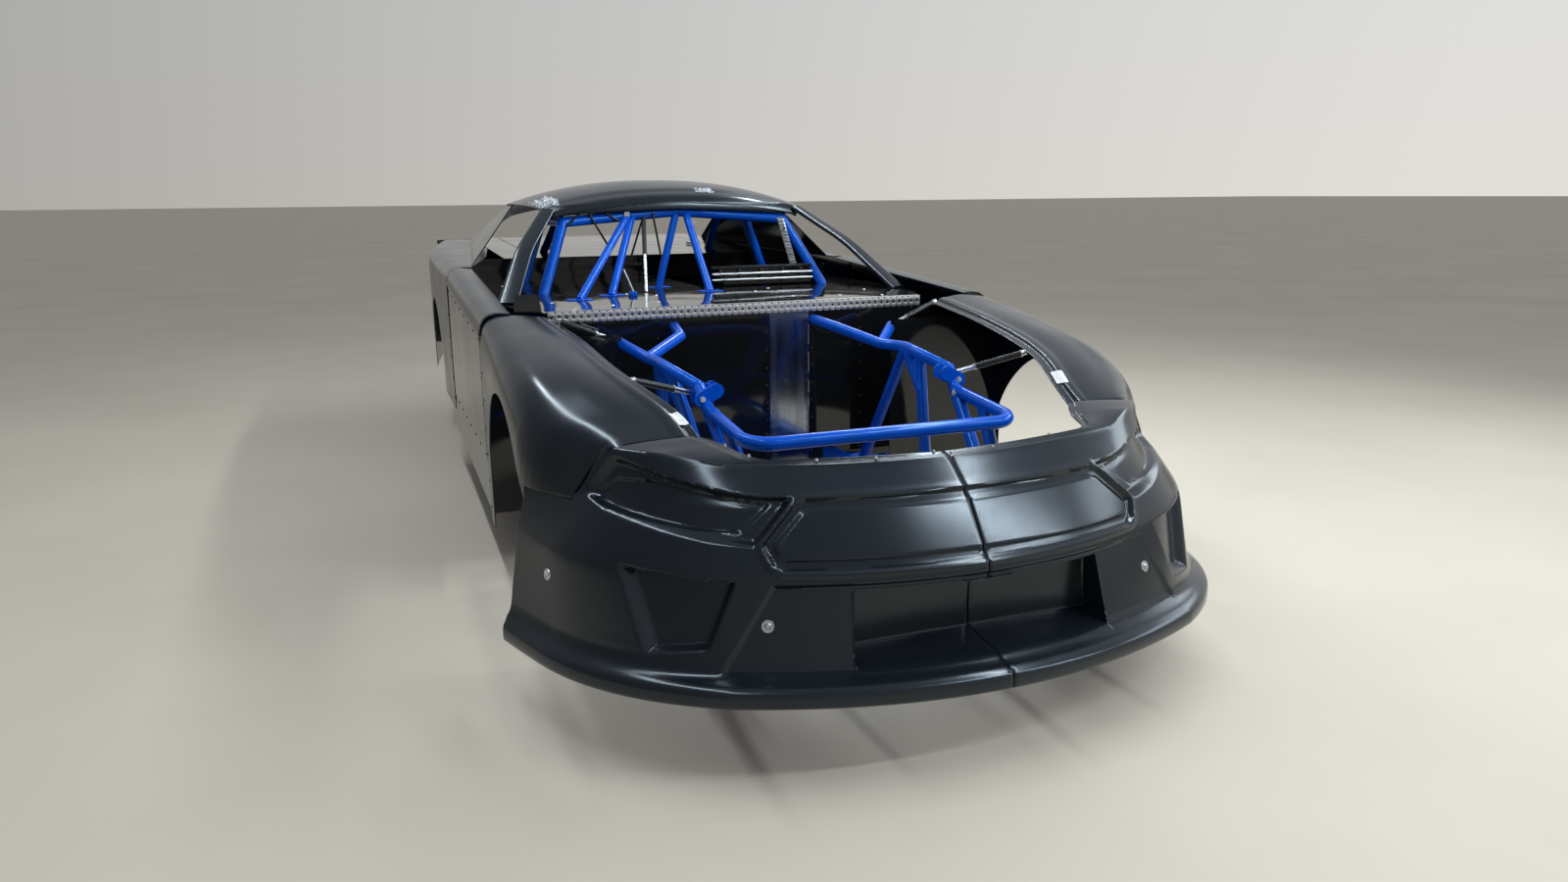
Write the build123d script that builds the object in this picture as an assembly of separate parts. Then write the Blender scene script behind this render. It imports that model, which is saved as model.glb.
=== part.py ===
from build123d import *
import os

# A late-model stock car as it stands in the fabrication shop: moulded body on a bare tube chassis,
# with no wheels, suspension, engine or hood yet, carried on low welded stands.
# Millimetres. X is across the car (the driver's side is +X), Y runs from the nose to the tail,
# Z is up from the ground at ride height. The finished pieces are moved to their place at the end.

# Overall sizes, wall thicknesses and gaps
overall_length = 4950
stand_lift = 80
skin = 5
sheet = 3
seam_gap = 2
lap = 6

# Nose: the lip, the face and the places where the nose ends
lip_bottom = 104
lip_thickness = 42
lip_reach = 66
face_foot = lip_bottom + lip_thickness
nose_top = 602
nose_rear = 812
nose_low_rear = 740
joint_height = 469
joint_corner_x = 854
joint_top_x = 772
joint_top_y = 590

# Hood opening: its front edge. Its sides are the inner edges of the fenders
opening_front = 345
opening_corner_x = 469
opening_corner_y = 405
opening_waist_x = 498
opening_waist_y = 533

# Wheel openings, doors and rockers
front_arch_start = 800
front_arch_end = 1582
front_arch_crown = 640
arch_spring = 400
rocker_foot = 133
rocker_height = 188
fender_end = 1690
door_end = 2952
rear_arch_start = 3425
rear_arch_end = 4262
rear_arch_crown = 690
quarter_foot = 276
tail_overhang = 90
quarter_end = overall_length - tail_overhang

# Cowl, interior deck and bulkhead
cowl_y = 1802
cowl_half_width = 718
cowl_rear_y = 2200
deck_height = 800
deck_half_width = 842
bulkhead_y = 3300
angle_drop = 38
angle_lap = 21

# Line of the rear deck in side view, and the lid in it
deck_line_front = 892
deck_line_rear = 938
lid_front = bulkhead_y + (quarter_end - bulkhead_y) * 11 / 26
lid_rear = quarter_end - 10
lid_half_width = 515
lid_thickness = 8
lid_gap = 6
hinge_x = 400
hinge_half = 34
hinge_radius = 6
leaf_thickness = 3
pin_radius = 3
pin_clearance = 0.5

# Roof and pillars
header_y = 2690
header_z = 1120
header_half_width = 552
pillar_foot = (deck_half_width - 42, 2160, deck_height)
sail_front_low = (deck_half_width + 8, 3010)
sail_rear_low = (706, quarter_end - 160)
sail_top_front = (628, 3180, 1149)
sail_top_middle = (3400, 1152)
sail_top_rear = (550, 3895, 1087)

# Frame and cage
rail_width = 50
rail_height = 100
rail_floor = 105
perimeter_x = 600
clip_rail_x = 330
clip_rail_floor = 160
clip_rail_top = 235
clip_rail_front = 520
rear_rail_x = 445
rear_rail_top = 470
cage_diameter = 44
clip_diameter = 38
strut_diameter = 32
rod_diameter = 16
hoop_y = 3230
hoop_top = 1160
hoop_bend = 110
front_hoop_bend = 75


def face_of(curves):
    """A flat face inside a closed run of curves."""
    return make_face([edge for curve in curves for edge in curve.edges()])


def both_sides(shape):
    """The shape and its mirror image on the other side of the car."""
    return shape + mirror(shape, about=Plane.YZ)


def bar(points, diameter):
    """A round tube through the given points, mitred and welded at the inner ones."""
    path = Polyline(*points)
    section = Plane(origin=path @ 0, z_dir=path % 0) * Circle(diameter / 2)
    return sweep(section, path=path, transition=Transition.RIGHT)


def bent(points, diameter, bend):
    """A round tube bent to one radius at each of its inner points."""
    path = FilletPolyline(*points, radius=bend)
    return sweep(Plane(origin=path @ 0, z_dir=path % 0) * Circle(diameter / 2), path=path)


def box_between(low, high):
    """A box from its lowest to its highest corner."""
    size = [b - a for a, b in zip(low, high)]
    return Pos(*low) * Box(*size, align=(Align.MIN, Align.MIN, Align.MIN))


def slab_across(outline, x_low, x_high):
    """An outline in side view (y, z) given a thickness across the car."""
    face = Plane.YZ * make_face(Polyline(*outline, close=True))
    return Pos(x_low, 0, 0) * extrude(face, x_high - x_low)


def slab_along(outline, y_low, y_high):
    """An outline in front view (x, z) given a length along the car."""
    face = Plane.XZ * make_face(Polyline(*outline, close=True))
    return Pos(0, y_high, 0) * extrude(face, y_high - y_low)


def slab_up(outline, z_low, z_high):
    """An outline in plan (x, y) given a height."""
    return Pos(0, 0, z_low) * extrude(make_face(Polyline(*outline, close=True)), z_high - z_low)


def plate(corners, thickness):
    """A flat sheet on three or more corners in space, its thickness going away from the first side."""
    return extrude(make_face(Polyline(*corners, close=True)), thickness)


# Nose in plan, one row for each level. Columns: height, then y at the centre, then x and y of the end of
# the front curve, of the end of the corner curve, and of the side where the nose ends
nose_levels = (
    (face_foot - 8, 62, 600, 196, 925, 585, 965, 770),
    (372, 122, 590, 262, 905, 592, 960, nose_rear),
    (505, 222, 530, 322, 812, 622, 945, nose_rear + 40),
    (nose_top, 354, 505, 432, 765, 590, 905, nose_rear + 40),
)
front_normal = (0.42, -0.91)
corner_normal = (0.93, -0.37)
corner_bulge = 0.096


def corner_mid(start, end):
    """The middle point of a corner curve between two plan points."""
    dx = end[0] - start[0]
    dy = end[1] - start[1]
    return ((start[0] + end[0]) / 2 + dy * corner_bulge, (start[1] + end[1]) / 2 - dx * corner_bulge)


def nose_plan(row, inset):
    """The plan outline of the nose at one level, moved inward by the inset."""
    height, y0, x1, y1, x2, y2, x3, y3 = row
    front = (x1 - inset * front_normal[0], y1 - inset * front_normal[1])
    corner = (x2 - inset * corner_normal[0], y2 - inset * corner_normal[1])
    side = (x3 - inset, y3 + inset)
    middle = corner_mid(front, corner)
    outline = [
        Line((-side[0], side[1]), (-corner[0], corner[1])),
        ThreePointArc((-corner[0], corner[1]), (-middle[0], middle[1]), (-front[0], front[1])),
        ThreePointArc((-front[0], front[1]), (0, y0 + inset), front),
        ThreePointArc(front, middle, corner),
        Line(corner, side),
        Line(side, (-side[0], side[1])),
    ]
    return Pos(0, 0, height) * face_of(outline)


def nose_form(inset):
    """The solid form of the nose, up to a level lowered by the inset."""
    rows = [row for row in nose_levels]
    last = rows[-1]
    rows[-1] = (last[0] - inset,) + last[1:]
    return loft([nose_plan(row, inset) for row in rows], ruled=True)


# Panels pressed back into the face of the nose. Columns: depth, then the outline in front view
hex_panel = ((0, 505), (402, 505), (490, 428), (474, 385), (0, 387))
headlight = ((455, 509), (533, 436), (624, 441), (728, 458), (815, 478), (773, 540), (711, 545), (533, 516))
duct = ((575, 353), (790, 371), (767, 184), (638, 208))
lower_panel = ((0, 350), (496, 350), (615, 170), (0, 155))
pressed = (
    (9, hex_panel),
    (20, headlight),
    (30, duct),
    (8, lower_panel),
)
grille_half_top = 323
grille_half_bottom = 338
grille_top = 331
grille_bottom = 163
grille_back = 205
far = 1200


def pressing(outline, depth, form, grow):
    """What a pressed panel takes out of the form, grown by the skin for the inner side."""
    face = make_face(Polyline(*outline, close=True))
    if grow:
        face = offset(face, amount=grow, kind=Kind.INTERSECTION)
    prism = Pos(0, far, 0) * extrude(Plane.XZ * face, far)
    return prism - Pos(0, depth + grow, 0) * form


def nose_forms():
    """The outer and the inner form of the whole nose with its pressed panels."""
    outer = nose_form(0)
    shell_outer = outer
    shell_inner = nose_form(skin)
    for depth, outline in pressed:
        shell_outer = shell_outer - both_sides(pressing(outline, depth, outer, 0))
        shell_inner = shell_inner - both_sides(pressing(outline, depth, outer, skin))
    grille = (
        (-grille_half_bottom, grille_bottom),
        (grille_half_bottom, grille_bottom),
        (grille_half_top, grille_top),
        (-grille_half_top, grille_top),
    )
    grille_face = make_face(Polyline(*grille, close=True))
    grown_face = offset(grille_face, amount=skin, kind=Kind.INTERSECTION)
    shell_outer = shell_outer - Pos(0, grille_back, 0) * extrude(Plane.XZ * grille_face, grille_back)
    shell_inner = shell_inner - Pos(0, grille_back + skin, 0) * extrude(Plane.XZ * grown_face, grille_back)
    return shell_outer, shell_inner


# Lip in plan: the end of its front curve, of its corner curve, and its rear end at the wheel opening
lip_front_end = (620, 140)
lip_corner_end = (975, 580)
lip_rear_end = (1028, nose_low_rear)


def lip_plan(reach):
    """The plan outline of the lip moved inward by the reach."""
    front = (lip_front_end[0] - reach * front_normal[0], lip_front_end[1] - reach * front_normal[1])
    corner = (lip_corner_end[0] - reach * corner_normal[0], lip_corner_end[1] - reach * corner_normal[1])
    rear = (lip_rear_end[0] - reach, lip_rear_end[1])
    middle = corner_mid(front, corner)
    return [
        Line((-rear[0], rear[1]), (-corner[0], corner[1])),
        ThreePointArc((-corner[0], corner[1]), (-middle[0], middle[1]), (-front[0], front[1])),
        ThreePointArc((-front[0], front[1]), (0, reach), front),
        ThreePointArc(front, middle, corner),
        Line(corner, rear),
        Line(rear, (-rear[0], rear[1])),
    ]


def lip():
    """The flat lip round the foot of the nose."""
    outer = extrude(face_of(lip_plan(0)), lip_thickness)
    inner = extrude(face_of(lip_plan(lip_reach + skin)), lip_thickness)
    return Pos(0, 0, lip_bottom) * (outer - inner)


# Inner edge of a fender along the hood opening. Columns: y, x, z
hood_edge = (
    (joint_top_y + seam_gap, 539, 612),
    (nose_rear, 597, 690),
    (1080, 650, 733),
    (1330, 671, deck_height - 35),
    (fender_end, 704, deck_height - 9),
)

# Fender at the same stations. Columns: x of the side, z where the side ends, x and z of the shoulder,
# x and z of the top
fender_rows = (
    (800, 540, 778, 582, 745, 606),
    (945, 550, 930, 602, 880, 638),
    (956, 640, 946, 700, 900, 728),
    (deck_half_width + 113, deck_height - 100, deck_half_width + 102, deck_height - 56, 895,
     deck_height - 38),
    (deck_half_width + 108, deck_height - 50, deck_half_width + 98, deck_height - 6, deck_half_width + 70,
     deck_height + 8),
)

# Door and quarter at their stations. Columns: y, x of the side, of the shoulder, of the top, of the inner edge
door_inner = deck_half_width + 8
door_rows = (
    (fender_end + seam_gap, deck_half_width + 108, deck_half_width + 98, deck_half_width + 70, door_inner),
    (door_end, deck_half_width + 116, deck_half_width + 106, deck_half_width + 83, door_inner),
)
quarter_rows = (
    (door_end + seam_gap, deck_half_width + 116, deck_half_width + 106, deck_half_width + 83, door_inner),
    (rear_arch_start, deck_half_width + 126, deck_half_width + 114, deck_half_width + 83,
     deck_half_width - 102),
    (rear_arch_end, 962, 948, 915, 645),
    (quarter_end, 884, 872, 846, 645),
)
side_drop = 58
shoulder_drop = 16
door_top_front = deck_height + 20


def deck_line(y):
    """Height of the rear deck at a place along the car."""
    share = (y - door_end) / (overall_length - door_end)
    return deck_line_front + (deck_line_rear - deck_line_front) * share


def door_line(y):
    """Height of the top of the door at a place along the car."""
    share = (y - fender_end) / (door_end - fender_end)
    return door_top_front + (deck_line_front - door_top_front) * share


def side_face(y, points, low):
    """The section of a body side at one station, as thick as the skin. The points run from the side inward."""
    side, shoulder, top, edge = points
    outline = (
        (side[0], low), side, shoulder, top, edge,
        (edge[0], edge[1] - skin), (top[0] - 0.4 * skin, top[1] - skin),
        (shoulder[0] - 0.8 * skin, shoulder[1] - 0.6 * skin), (side[0] - skin, side[1]),
        (side[0] - skin, low),
    )
    return Pos(0, y, 0) * (Plane.XZ * make_face(Polyline(*outline, close=True)))


def fender():
    """A fender before its wheel opening is cut."""
    faces = []
    for (y, edge_x, edge_z), row in zip(hood_edge, fender_rows):
        x_side, z_side, x_shoulder, z_shoulder, x_top, z_top = row
        points = ((x_side, z_side), (x_shoulder, z_shoulder), (x_top, z_top), (edge_x, edge_z))
        faces.append(side_face(y, points, rocker_foot))
    return loft(faces, ruled=True)


def upper_side(rows, line, low):
    """A door or quarter whose top follows a line in side view."""
    faces = []
    for y, x_side, x_shoulder, x_top, x_in in rows:
        height = line(y)
        side = (x_side, height - side_drop)
        shoulder = (x_shoulder, height - shoulder_drop)
        points = (side, shoulder, (x_top, height), (x_in, height))
        faces.append(side_face(y, points, low))
    return loft(faces, ruled=True)


def wheel_opening(start, end, crown):
    """What a wheel opening takes out of a body side."""
    middle = (start + end) / 2
    outline = [
        Line((start, 0), (start, arch_spring)),
        ThreePointArc((start, arch_spring), (middle, crown), (end, arch_spring)),
        Line((end, arch_spring), (end, 0)),
        Line((end, 0), (start, 0)),
    ]
    return Pos(perimeter_x, 0, 0) * extrude(Plane.YZ * face_of(outline), far)


def nose_region(gap):
    """The space that the nose keeps: below the joint at the wheel openings, and the strip before the hood."""
    low = slab_across(((-far, 0), (nose_low_rear + gap, 0), (nose_rear + gap, joint_height + gap),
                       (-far, joint_height + gap)), -far, far)
    high = slab_along(((-joint_corner_x - gap, joint_height), (joint_corner_x + gap, joint_height),
                       (joint_top_x + gap, nose_top + 100), (-joint_top_x - gap, nose_top + 100)),
                      -far, joint_top_y + gap)
    return low + high


def hood_front():
    """What the front of the hood opening takes out of the nose."""
    edge_x = hood_edge[0][1]
    outline = [
        ThreePointArc((-opening_corner_x, opening_corner_y), (0, opening_front),
                      (opening_corner_x, opening_corner_y)),
        Polyline((opening_corner_x, opening_corner_y), (opening_waist_x, opening_waist_y),
                 (edge_x, joint_top_y), (edge_x, far), (-edge_x, far), (-edge_x, joint_top_y),
                 (-opening_waist_x, opening_waist_y), (-opening_corner_x, opening_corner_y)),
    ]
    return extrude(face_of(outline), far)


def strip(start, end, half_width_start, half_width_end, depth, lean):
    """A flat pillar between two points, its width turned by the lean about its own line."""
    direction = Vector(*end) - Vector(*start)
    low_plane = Plane(origin=start, x_dir=lean, z_dir=direction)
    high_plane = Plane(origin=end, x_dir=lean, z_dir=direction)
    return loft([low_plane * Rectangle(2 * half_width_start, depth),
                 high_plane * Rectangle(2 * half_width_end, depth)], ruled=True)


# Roof sections: y, half width, height of the edge and of the crown
roof_stations = (
    (header_y, header_half_width, header_z, 1180),
    (3000, 635, 1150, 1254),
    (3450, 628, 1148, 1246),
    (3900, 555, 1088, 1150),
)


def roof_face(row):
    """One section of the roof skin."""
    y, half, edge, crown = row
    outline = [
        ThreePointArc((-half, edge), (0, crown), (half, edge)),
        Line((half, edge), (half, edge - skin)),
        ThreePointArc((half, edge - skin), (0, crown - skin), (-half, edge - skin)),
        Line((-half, edge - skin), (-half, edge)),
    ]
    return Pos(0, y, 0) * (Plane.XZ * face_of(outline))


def sail():
    """The two flat panels from the roof edge down to the top of a quarter, folded along one line."""
    foot_front = (*sail_front_low, deck_line(sail_front_low[1]) - lap)
    foot_rear = (*sail_rear_low, deck_line(sail_rear_low[1]) - lap)
    normal = (Vector(*foot_rear) - Vector(*foot_front)).cross(Vector(*sail_top_front) - Vector(*foot_front))
    y, z = sail_top_middle
    x = foot_front[0] - (normal.Y * (y - foot_front[1]) + normal.Z * (z - foot_front[2])) / normal.X
    front = plate((foot_front, foot_rear, (x, y, z), sail_top_front), -skin)
    rear = plate((foot_rear, sail_top_rear, (x, y, z)), -skin)
    low_y = bulkhead_y - far
    below = slab_across(((low_y, 0), (overall_length, 0), (overall_length, deck_line(overall_length) - skin),
                         (low_y, deck_line(low_y) - skin)), 0, far)
    return front + rear - below


def roof():
    """Roof skin with its windshield pillars and sail panels."""
    body = loft([roof_face(row) for row in roof_stations], ruled=True)
    pillar = strip(pillar_foot, (header_half_width, header_y, header_z), 40, 32, 16, (1, 0.35, 0))
    pillar = pillar - box_between((0, 0, 0), (far, bulkhead_y, deck_height))
    return body + both_sides(pillar) + both_sides(sail())


def deck_sheet(y_low, y_high, half_width, top, thick):
    """A flat sheet on the line of the rear deck, its top at a height over that line."""
    outline = ((y_low, deck_line(y_low) + top), (y_high, deck_line(y_high) + top),
               (y_high, deck_line(y_high) + top - thick), (y_low, deck_line(y_low) + top - thick))
    return slab_across(outline, -half_width, half_width)


parts = {}

# Nose
nose_outside, nose_inside = nose_forms()
full_nose = ((nose_outside - nose_inside) & nose_region(0)) - hood_front() + lip()
full_nose = full_nose - box_between((-far, -far, 0), (far, far, lip_bottom))
parts["nose_left"] = full_nose & box_between((seam_gap / 2, -far, 0), (far, far, far))
parts["nose_right"] = full_nose & box_between((-far, -far, 0), (-seam_gap / 2, far, far))

# Body sides
corner_outer = door_inner - seam_gap
corner_front = fender_end - 2 * lap
cowl_corner = slab_up(((hood_edge[-1][1], corner_front), (corner_outer, corner_front),
                       (corner_outer, cowl_rear_y), (pillar_foot[0] - 10, cowl_rear_y),
                       (cowl_half_width, cowl_y)),
                      deck_height, deck_height + skin)
front_arch = wheel_opening(front_arch_start, front_arch_end, front_arch_crown)
front_side = fender() - nose_region(seam_gap) - front_arch
front_side = front_side - box_between((0, 0, 0), (far, nose_rear + seam_gap, joint_height + seam_gap))
front_side = front_side + cowl_corner
door = upper_side(door_rows, door_line, rocker_foot + rocker_height + seam_gap)
rocker_face = door_rows[0][1] - 2 * skin
rocker = box_between((rocker_face - sheet, front_arch_end + 110, rocker_foot),
                     (rocker_face, rear_arch_start, rocker_foot + rocker_height))
rear_arch = wheel_opening(rear_arch_start, rear_arch_end, rear_arch_crown)
quarter = upper_side(quarter_rows, deck_line, quarter_foot) - rear_arch
for name, piece in (("fender", front_side), ("door", door), ("rocker_panel", rocker), ("quarter", quarter)):
    parts[name + "_left"] = piece
    parts[name + "_right"] = mirror(piece, about=Plane.YZ)
parts["roof"] = roof()

# Tail: cover, deck sheet round the lid, and the lid on its two hinges
cover_x = quarter_rows[-1][2]
cover_bottom = 330
cover_end_y = quarter_end + seam_gap
cover_outline = [
    ThreePointArc((-cover_x, cover_end_y), (0, overall_length), (cover_x, cover_end_y)),
    Line((cover_x, cover_end_y), (cover_x - skin, cover_end_y)),
    ThreePointArc((cover_x - skin, cover_end_y), (0, overall_length - skin), (-cover_x + skin, cover_end_y)),
    Line((-cover_x + skin, cover_end_y), (-cover_x, cover_end_y)),
]
cover_top = deck_line(cover_end_y)
cover = extrude(face_of(cover_outline), cover_top - cover_bottom)
parts["rear_bumper_cover"] = Pos(0, 0, cover_bottom) * cover
tray_half_width = quarter_rows[2][4] + 4 * lap
tray = deck_sheet(bulkhead_y, overall_length - 8 * skin, tray_half_width, sheet, sheet)
tray_cut = deck_sheet(lid_front - lid_gap, lid_rear + lid_gap, lid_half_width + lid_gap, far, 2 * far)
parts["rear_tray"] = tray - tray_cut
lid = deck_sheet(lid_front, lid_rear, lid_half_width, sheet, lid_thickness)
hinge_y = lid_front - lid_gap / 2
hinge_z = deck_line(hinge_y) + sheet + hinge_radius + 1
fixed_leaves = None
for x in (-hinge_x, hinge_x):
    turn = Plane.YZ.location * Circle(hinge_radius)
    barrel = Pos(x, hinge_y, hinge_z) * extrude(turn, hinge_half)
    leaf = box_between((x, lid_front - 40, hinge_z - hinge_radius - leaf_thickness),
                       (x + hinge_half, hinge_y, hinge_z - hinge_radius + leaf_thickness))
    pin = Pos(x, hinge_y, hinge_z) * extrude(Plane.YZ.location * Circle(pin_radius), 2 * hinge_half)
    fixed = barrel + leaf + pin
    fixed_leaves = fixed if fixed_leaves is None else fixed_leaves + fixed
    moving = Pos(x + hinge_half + 1, hinge_y, hinge_z) * extrude(turn, hinge_half - 1)
    moving = moving + box_between((x + hinge_half + 1, hinge_y, hinge_z - hinge_radius),
                                  (x + 2 * hinge_half, lid_front + 26, hinge_z - hinge_radius + leaf_thickness))
    moving = moving + box_between((x + hinge_half + 1, lid_front + 1, hinge_z - hinge_radius - 5),
                                  (x + 2 * hinge_half, lid_front + 26, hinge_z - hinge_radius))
    pin_hole = extrude(Plane.YZ.location * Circle(pin_radius + pin_clearance), 3 * hinge_half)
    moving = moving - Pos(x, hinge_y, hinge_z) * pin_hole
    lid = lid + moving
parts["deck_lid"] = lid
parts["lid_hinges"] = fixed_leaves

# Cockpit sheet metal
wall_y = cowl_y - sheet
post_knee = (611, 2530, deck_height)
driver_opening = ((60, 2480), (600, hoop_y + 10))
deck_corner_y = cowl_rear_y - 30
deck_outline = ((-cowl_half_width, wall_y), (cowl_half_width, wall_y), (deck_half_width, deck_corner_y),
                (deck_half_width, bulkhead_y), (-deck_half_width, bulkhead_y),
                (-deck_half_width, deck_corner_y))
deck = slab_up(deck_outline, deck_height - sheet, deck_height)
deck = deck - box_between((*driver_opening[0], 0), (*driver_opening[1], far))
notch = cage_diameter / 2 + 8
for x, y in ((perimeter_x - 6, hoop_y), post_knee[:2]):
    deck = deck - both_sides(box_between((x - notch, y - notch, 0), (x + notch, y + notch, far)))
parts["interior_deck"] = deck
angle_half_width = cowl_half_width - lap
angle_front_y = wall_y - sheet
upright_leg = box_between((-angle_half_width, angle_front_y, deck_height - angle_drop),
                          (angle_half_width, wall_y, deck_height))
flat_leg = box_between((-angle_half_width, angle_front_y, deck_height),
                       (angle_half_width, wall_y + angle_lap, deck_height + sheet))
parts["deck_edge_angle"] = upright_leg + flat_leg
wall_foot = 190
wall_half_width = 690
bare_panel = (92, 247)
wall_top = deck_height - sheet
# Columns: the name, then x from and to
wall_panels = (
    ("firewall_right", -wall_half_width, bare_panel[0] - seam_gap),
    ("firewall_centre_panel", bare_panel[0], bare_panel[1]),
    ("firewall_left", bare_panel[1] + seam_gap, wall_half_width),
)
for name, x_low, x_high in wall_panels:
    parts[name] = box_between((x_low, wall_y, wall_foot), (x_high, cowl_y, wall_top))
rail_inner = perimeter_x - rail_width / 2
rail_outer = perimeter_x + rail_width / 2
rail_top = rail_floor + rail_height
parts["floor_pan"] = box_between((-rail_inner, cowl_y + 92, rail_floor),
                                 (rail_inner, bulkhead_y, rail_floor + sheet))
parts["rear_bulkhead"] = slab_along(
    ((-deck_half_width, rail_floor), (deck_half_width, rail_floor), (deck_half_width, deck_line(bulkhead_y)),
     (-deck_half_width, deck_line(bulkhead_y))), bulkhead_y, bulkhead_y + sheet)
dash_y = 2560
parts["dash_panel"] = box_between((165, dash_y, deck_height), (635, dash_y + sheet, deck_height + 82))
splash_y = 1620
splash_low = (500, splash_y, 170)
splash_high = (fender_rows[-1][0] - 0.4 * skin, splash_y + sheet, fender_rows[-2][3] - lap)
parts["splash_panel_left"] = box_between(splash_low, splash_high)
parts["splash_panel_right"] = mirror(parts["splash_panel_left"], about=Plane.YZ)

# Frame
rail = box_between((rail_inner, cowl_y, rail_floor), (rail_outer, bulkhead_y + 60, rail_top))
front_rail = box_between((clip_rail_x - 25, clip_rail_front, clip_rail_floor),
                         (clip_rail_x + 25, wall_y - lap, clip_rail_top))
link = slab_up(((clip_rail_x - 25, cowl_y - 60), (rail_outer, cowl_y + 40), (rail_outer, cowl_y + 90),
                (clip_rail_x - 25, cowl_y + 90)), rail_floor, rail_top)
rail_drop_y = quarter_end - 660
tail_rail_top = 380
kick_low = ((bulkhead_y + 20, rail_floor), (bulkhead_y + 20, rail_top))
rear_rail = slab_across((*kick_low, (3480, rear_rail_top), (rail_drop_y, rear_rail_top),
                         (rail_drop_y + 220, tail_rail_top), (quarter_end, tail_rail_top),
                         (quarter_end, tail_rail_top - 60),
                         (rail_drop_y + 200, tail_rail_top - 60), (rail_drop_y - 20, rear_rail_top - 70),
                         (3540, rear_rail_top - 70),
                         (bulkhead_y + 90, rail_floor)), rear_rail_x - 25, rear_rail_x + 25)
cross_link = box_between((rear_rail_x, bulkhead_y + 10, rail_floor), (perimeter_x, bulkhead_y + 60, rail_top))
parts["frame_rails"] = both_sides(rail + front_rail + link + rear_rail + cross_link)
members = None
for y in (560, 1150, 1600):
    member = box_between((-clip_rail_x + 25, y - 25, clip_rail_floor + 5),
                         (clip_rail_x - 25, y + 25, clip_rail_top - 10))
    members = member if members is None else members + member
for y in (2300, 3250):
    members = members + box_between((-rail_inner, y - 25, rail_floor + sheet), (rail_inner, y + 25, rail_top))
for y in (2000, 2600, 3200):
    outrigger = box_between((rail_outer, y - 15, rail_floor + 40),
                            (rocker_face - sheet, y + 15, rail_floor + 70))
    members = members + both_sides(outrigger)
parts["crossmembers"] = members

# Cage
hoop_foot = (perimeter_x, hoop_y, rail_top)
hoop_waist = (perimeter_x, hoop_y, 780)
hoop_shoulder = (470, hoop_y, hoop_top)
halo_corner = (490, 2700, 1080)
halo_crown = 1118
halo_rear = (497, hoop_y, halo_corner[2])
stay_top = (385, hoop_y, hoop_top)
hoop_points = [hoop_foot, hoop_waist, hoop_shoulder]
hoop_points = hoop_points + [(-x, y, z) for x, y, z in reversed(hoop_points)]
parts["main_hoop"] = bent(hoop_points, cage_diameter, hoop_bend)
post = bar((halo_rear, halo_corner, post_knee, (rail_outer - 22, 2350, rail_top)), cage_diameter)
halo = bar(((-halo_corner[0], *halo_corner[1:]), (0, halo_corner[1], halo_crown), halo_corner), cage_diameter)
parts["halo_and_posts"] = both_sides(post) + halo
# Windshield bars. Columns: x on the halo, then x and y on the deck
windshield_rows = (
    (-195, -373, 2348),
    (-215, -523, 2223),
    (0, -105, 2641),
    (40, 41, 2359),
)
bars = None
for x_top, x_foot, y_foot in windshield_rows:
    z_top = halo_crown + (halo_corner[2] - halo_crown) * abs(x_top) / halo_corner[0]
    one = bar(((x_top, halo_corner[1], z_top), (x_foot, y_foot, deck_height - sheet)), strut_diameter)
    bars = one if bars is None else bars + one
parts["windshield_bars"] = bars - box_between((-far, 0, 0), (far, bulkhead_y, deck_height))
bar_out = 760
bar_front = (2400, 2560)
bar_rear = (2950, hoop_y)


def door_bars(heights):
    """Bowed bars from the windshield post to the main hoop, with the rods that hold the door skin."""
    body = None
    for height in heights:
        run = bar(((perimeter_x, bar_rear[1], height), (bar_out, bar_rear[0], height),
                   (bar_out, bar_front[1], height), (perimeter_x, bar_front[0], height)), clip_diameter)
        body = run if body is None else body + run
    for y in bar_front[1] + 40, bar_rear[0] - 40:
        body = body + bar(((bar_out, y, heights[-1]), (door_rows[0][1] + skin, y, heights[-1])), rod_diameter)
    return body


top_bar = deck_height - 80
parts["door_bars_left"] = door_bars((300, 440, 580, top_bar))
parts["door_bars_right"] = mirror(door_bars((340, 560, top_bar)), about=Plane.YZ)
hoop_front_y = 1840
dash_bar = deck_height - 65
cowl_side = (perimeter_x, hoop_front_y, rail_top)
cowl_top = (perimeter_x, hoop_front_y, dash_bar)
cowl = bar((cowl_side, cowl_top, (-perimeter_x, hoop_front_y, dash_bar),
            (-perimeter_x, hoop_front_y, rail_top)), cage_diameter)
post_height = (deck_height + rail_top) / 2
cowl_brace = bar(((perimeter_x, hoop_front_y, dash_bar - 35), (606, 2445, post_height)), clip_diameter)
cowl_stay = bar(((420, hoop_front_y, dash_bar), (420, hoop_front_y, deck_height - sheet)), rod_diameter)
parts["cowl_hoop"] = cowl + both_sides(cowl_brace) + both_sides(cowl_stay)
stay_foot = (rear_rail_x, rail_drop_y - 10, rear_rail_top)
stay_knee = (rear_rail_x, hoop_y + 0.552 * (stay_foot[1] - hoop_y), 850)
parts["rear_stays"] = both_sides(bar((stay_top, stay_knee, stay_foot), clip_diameter))

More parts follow.
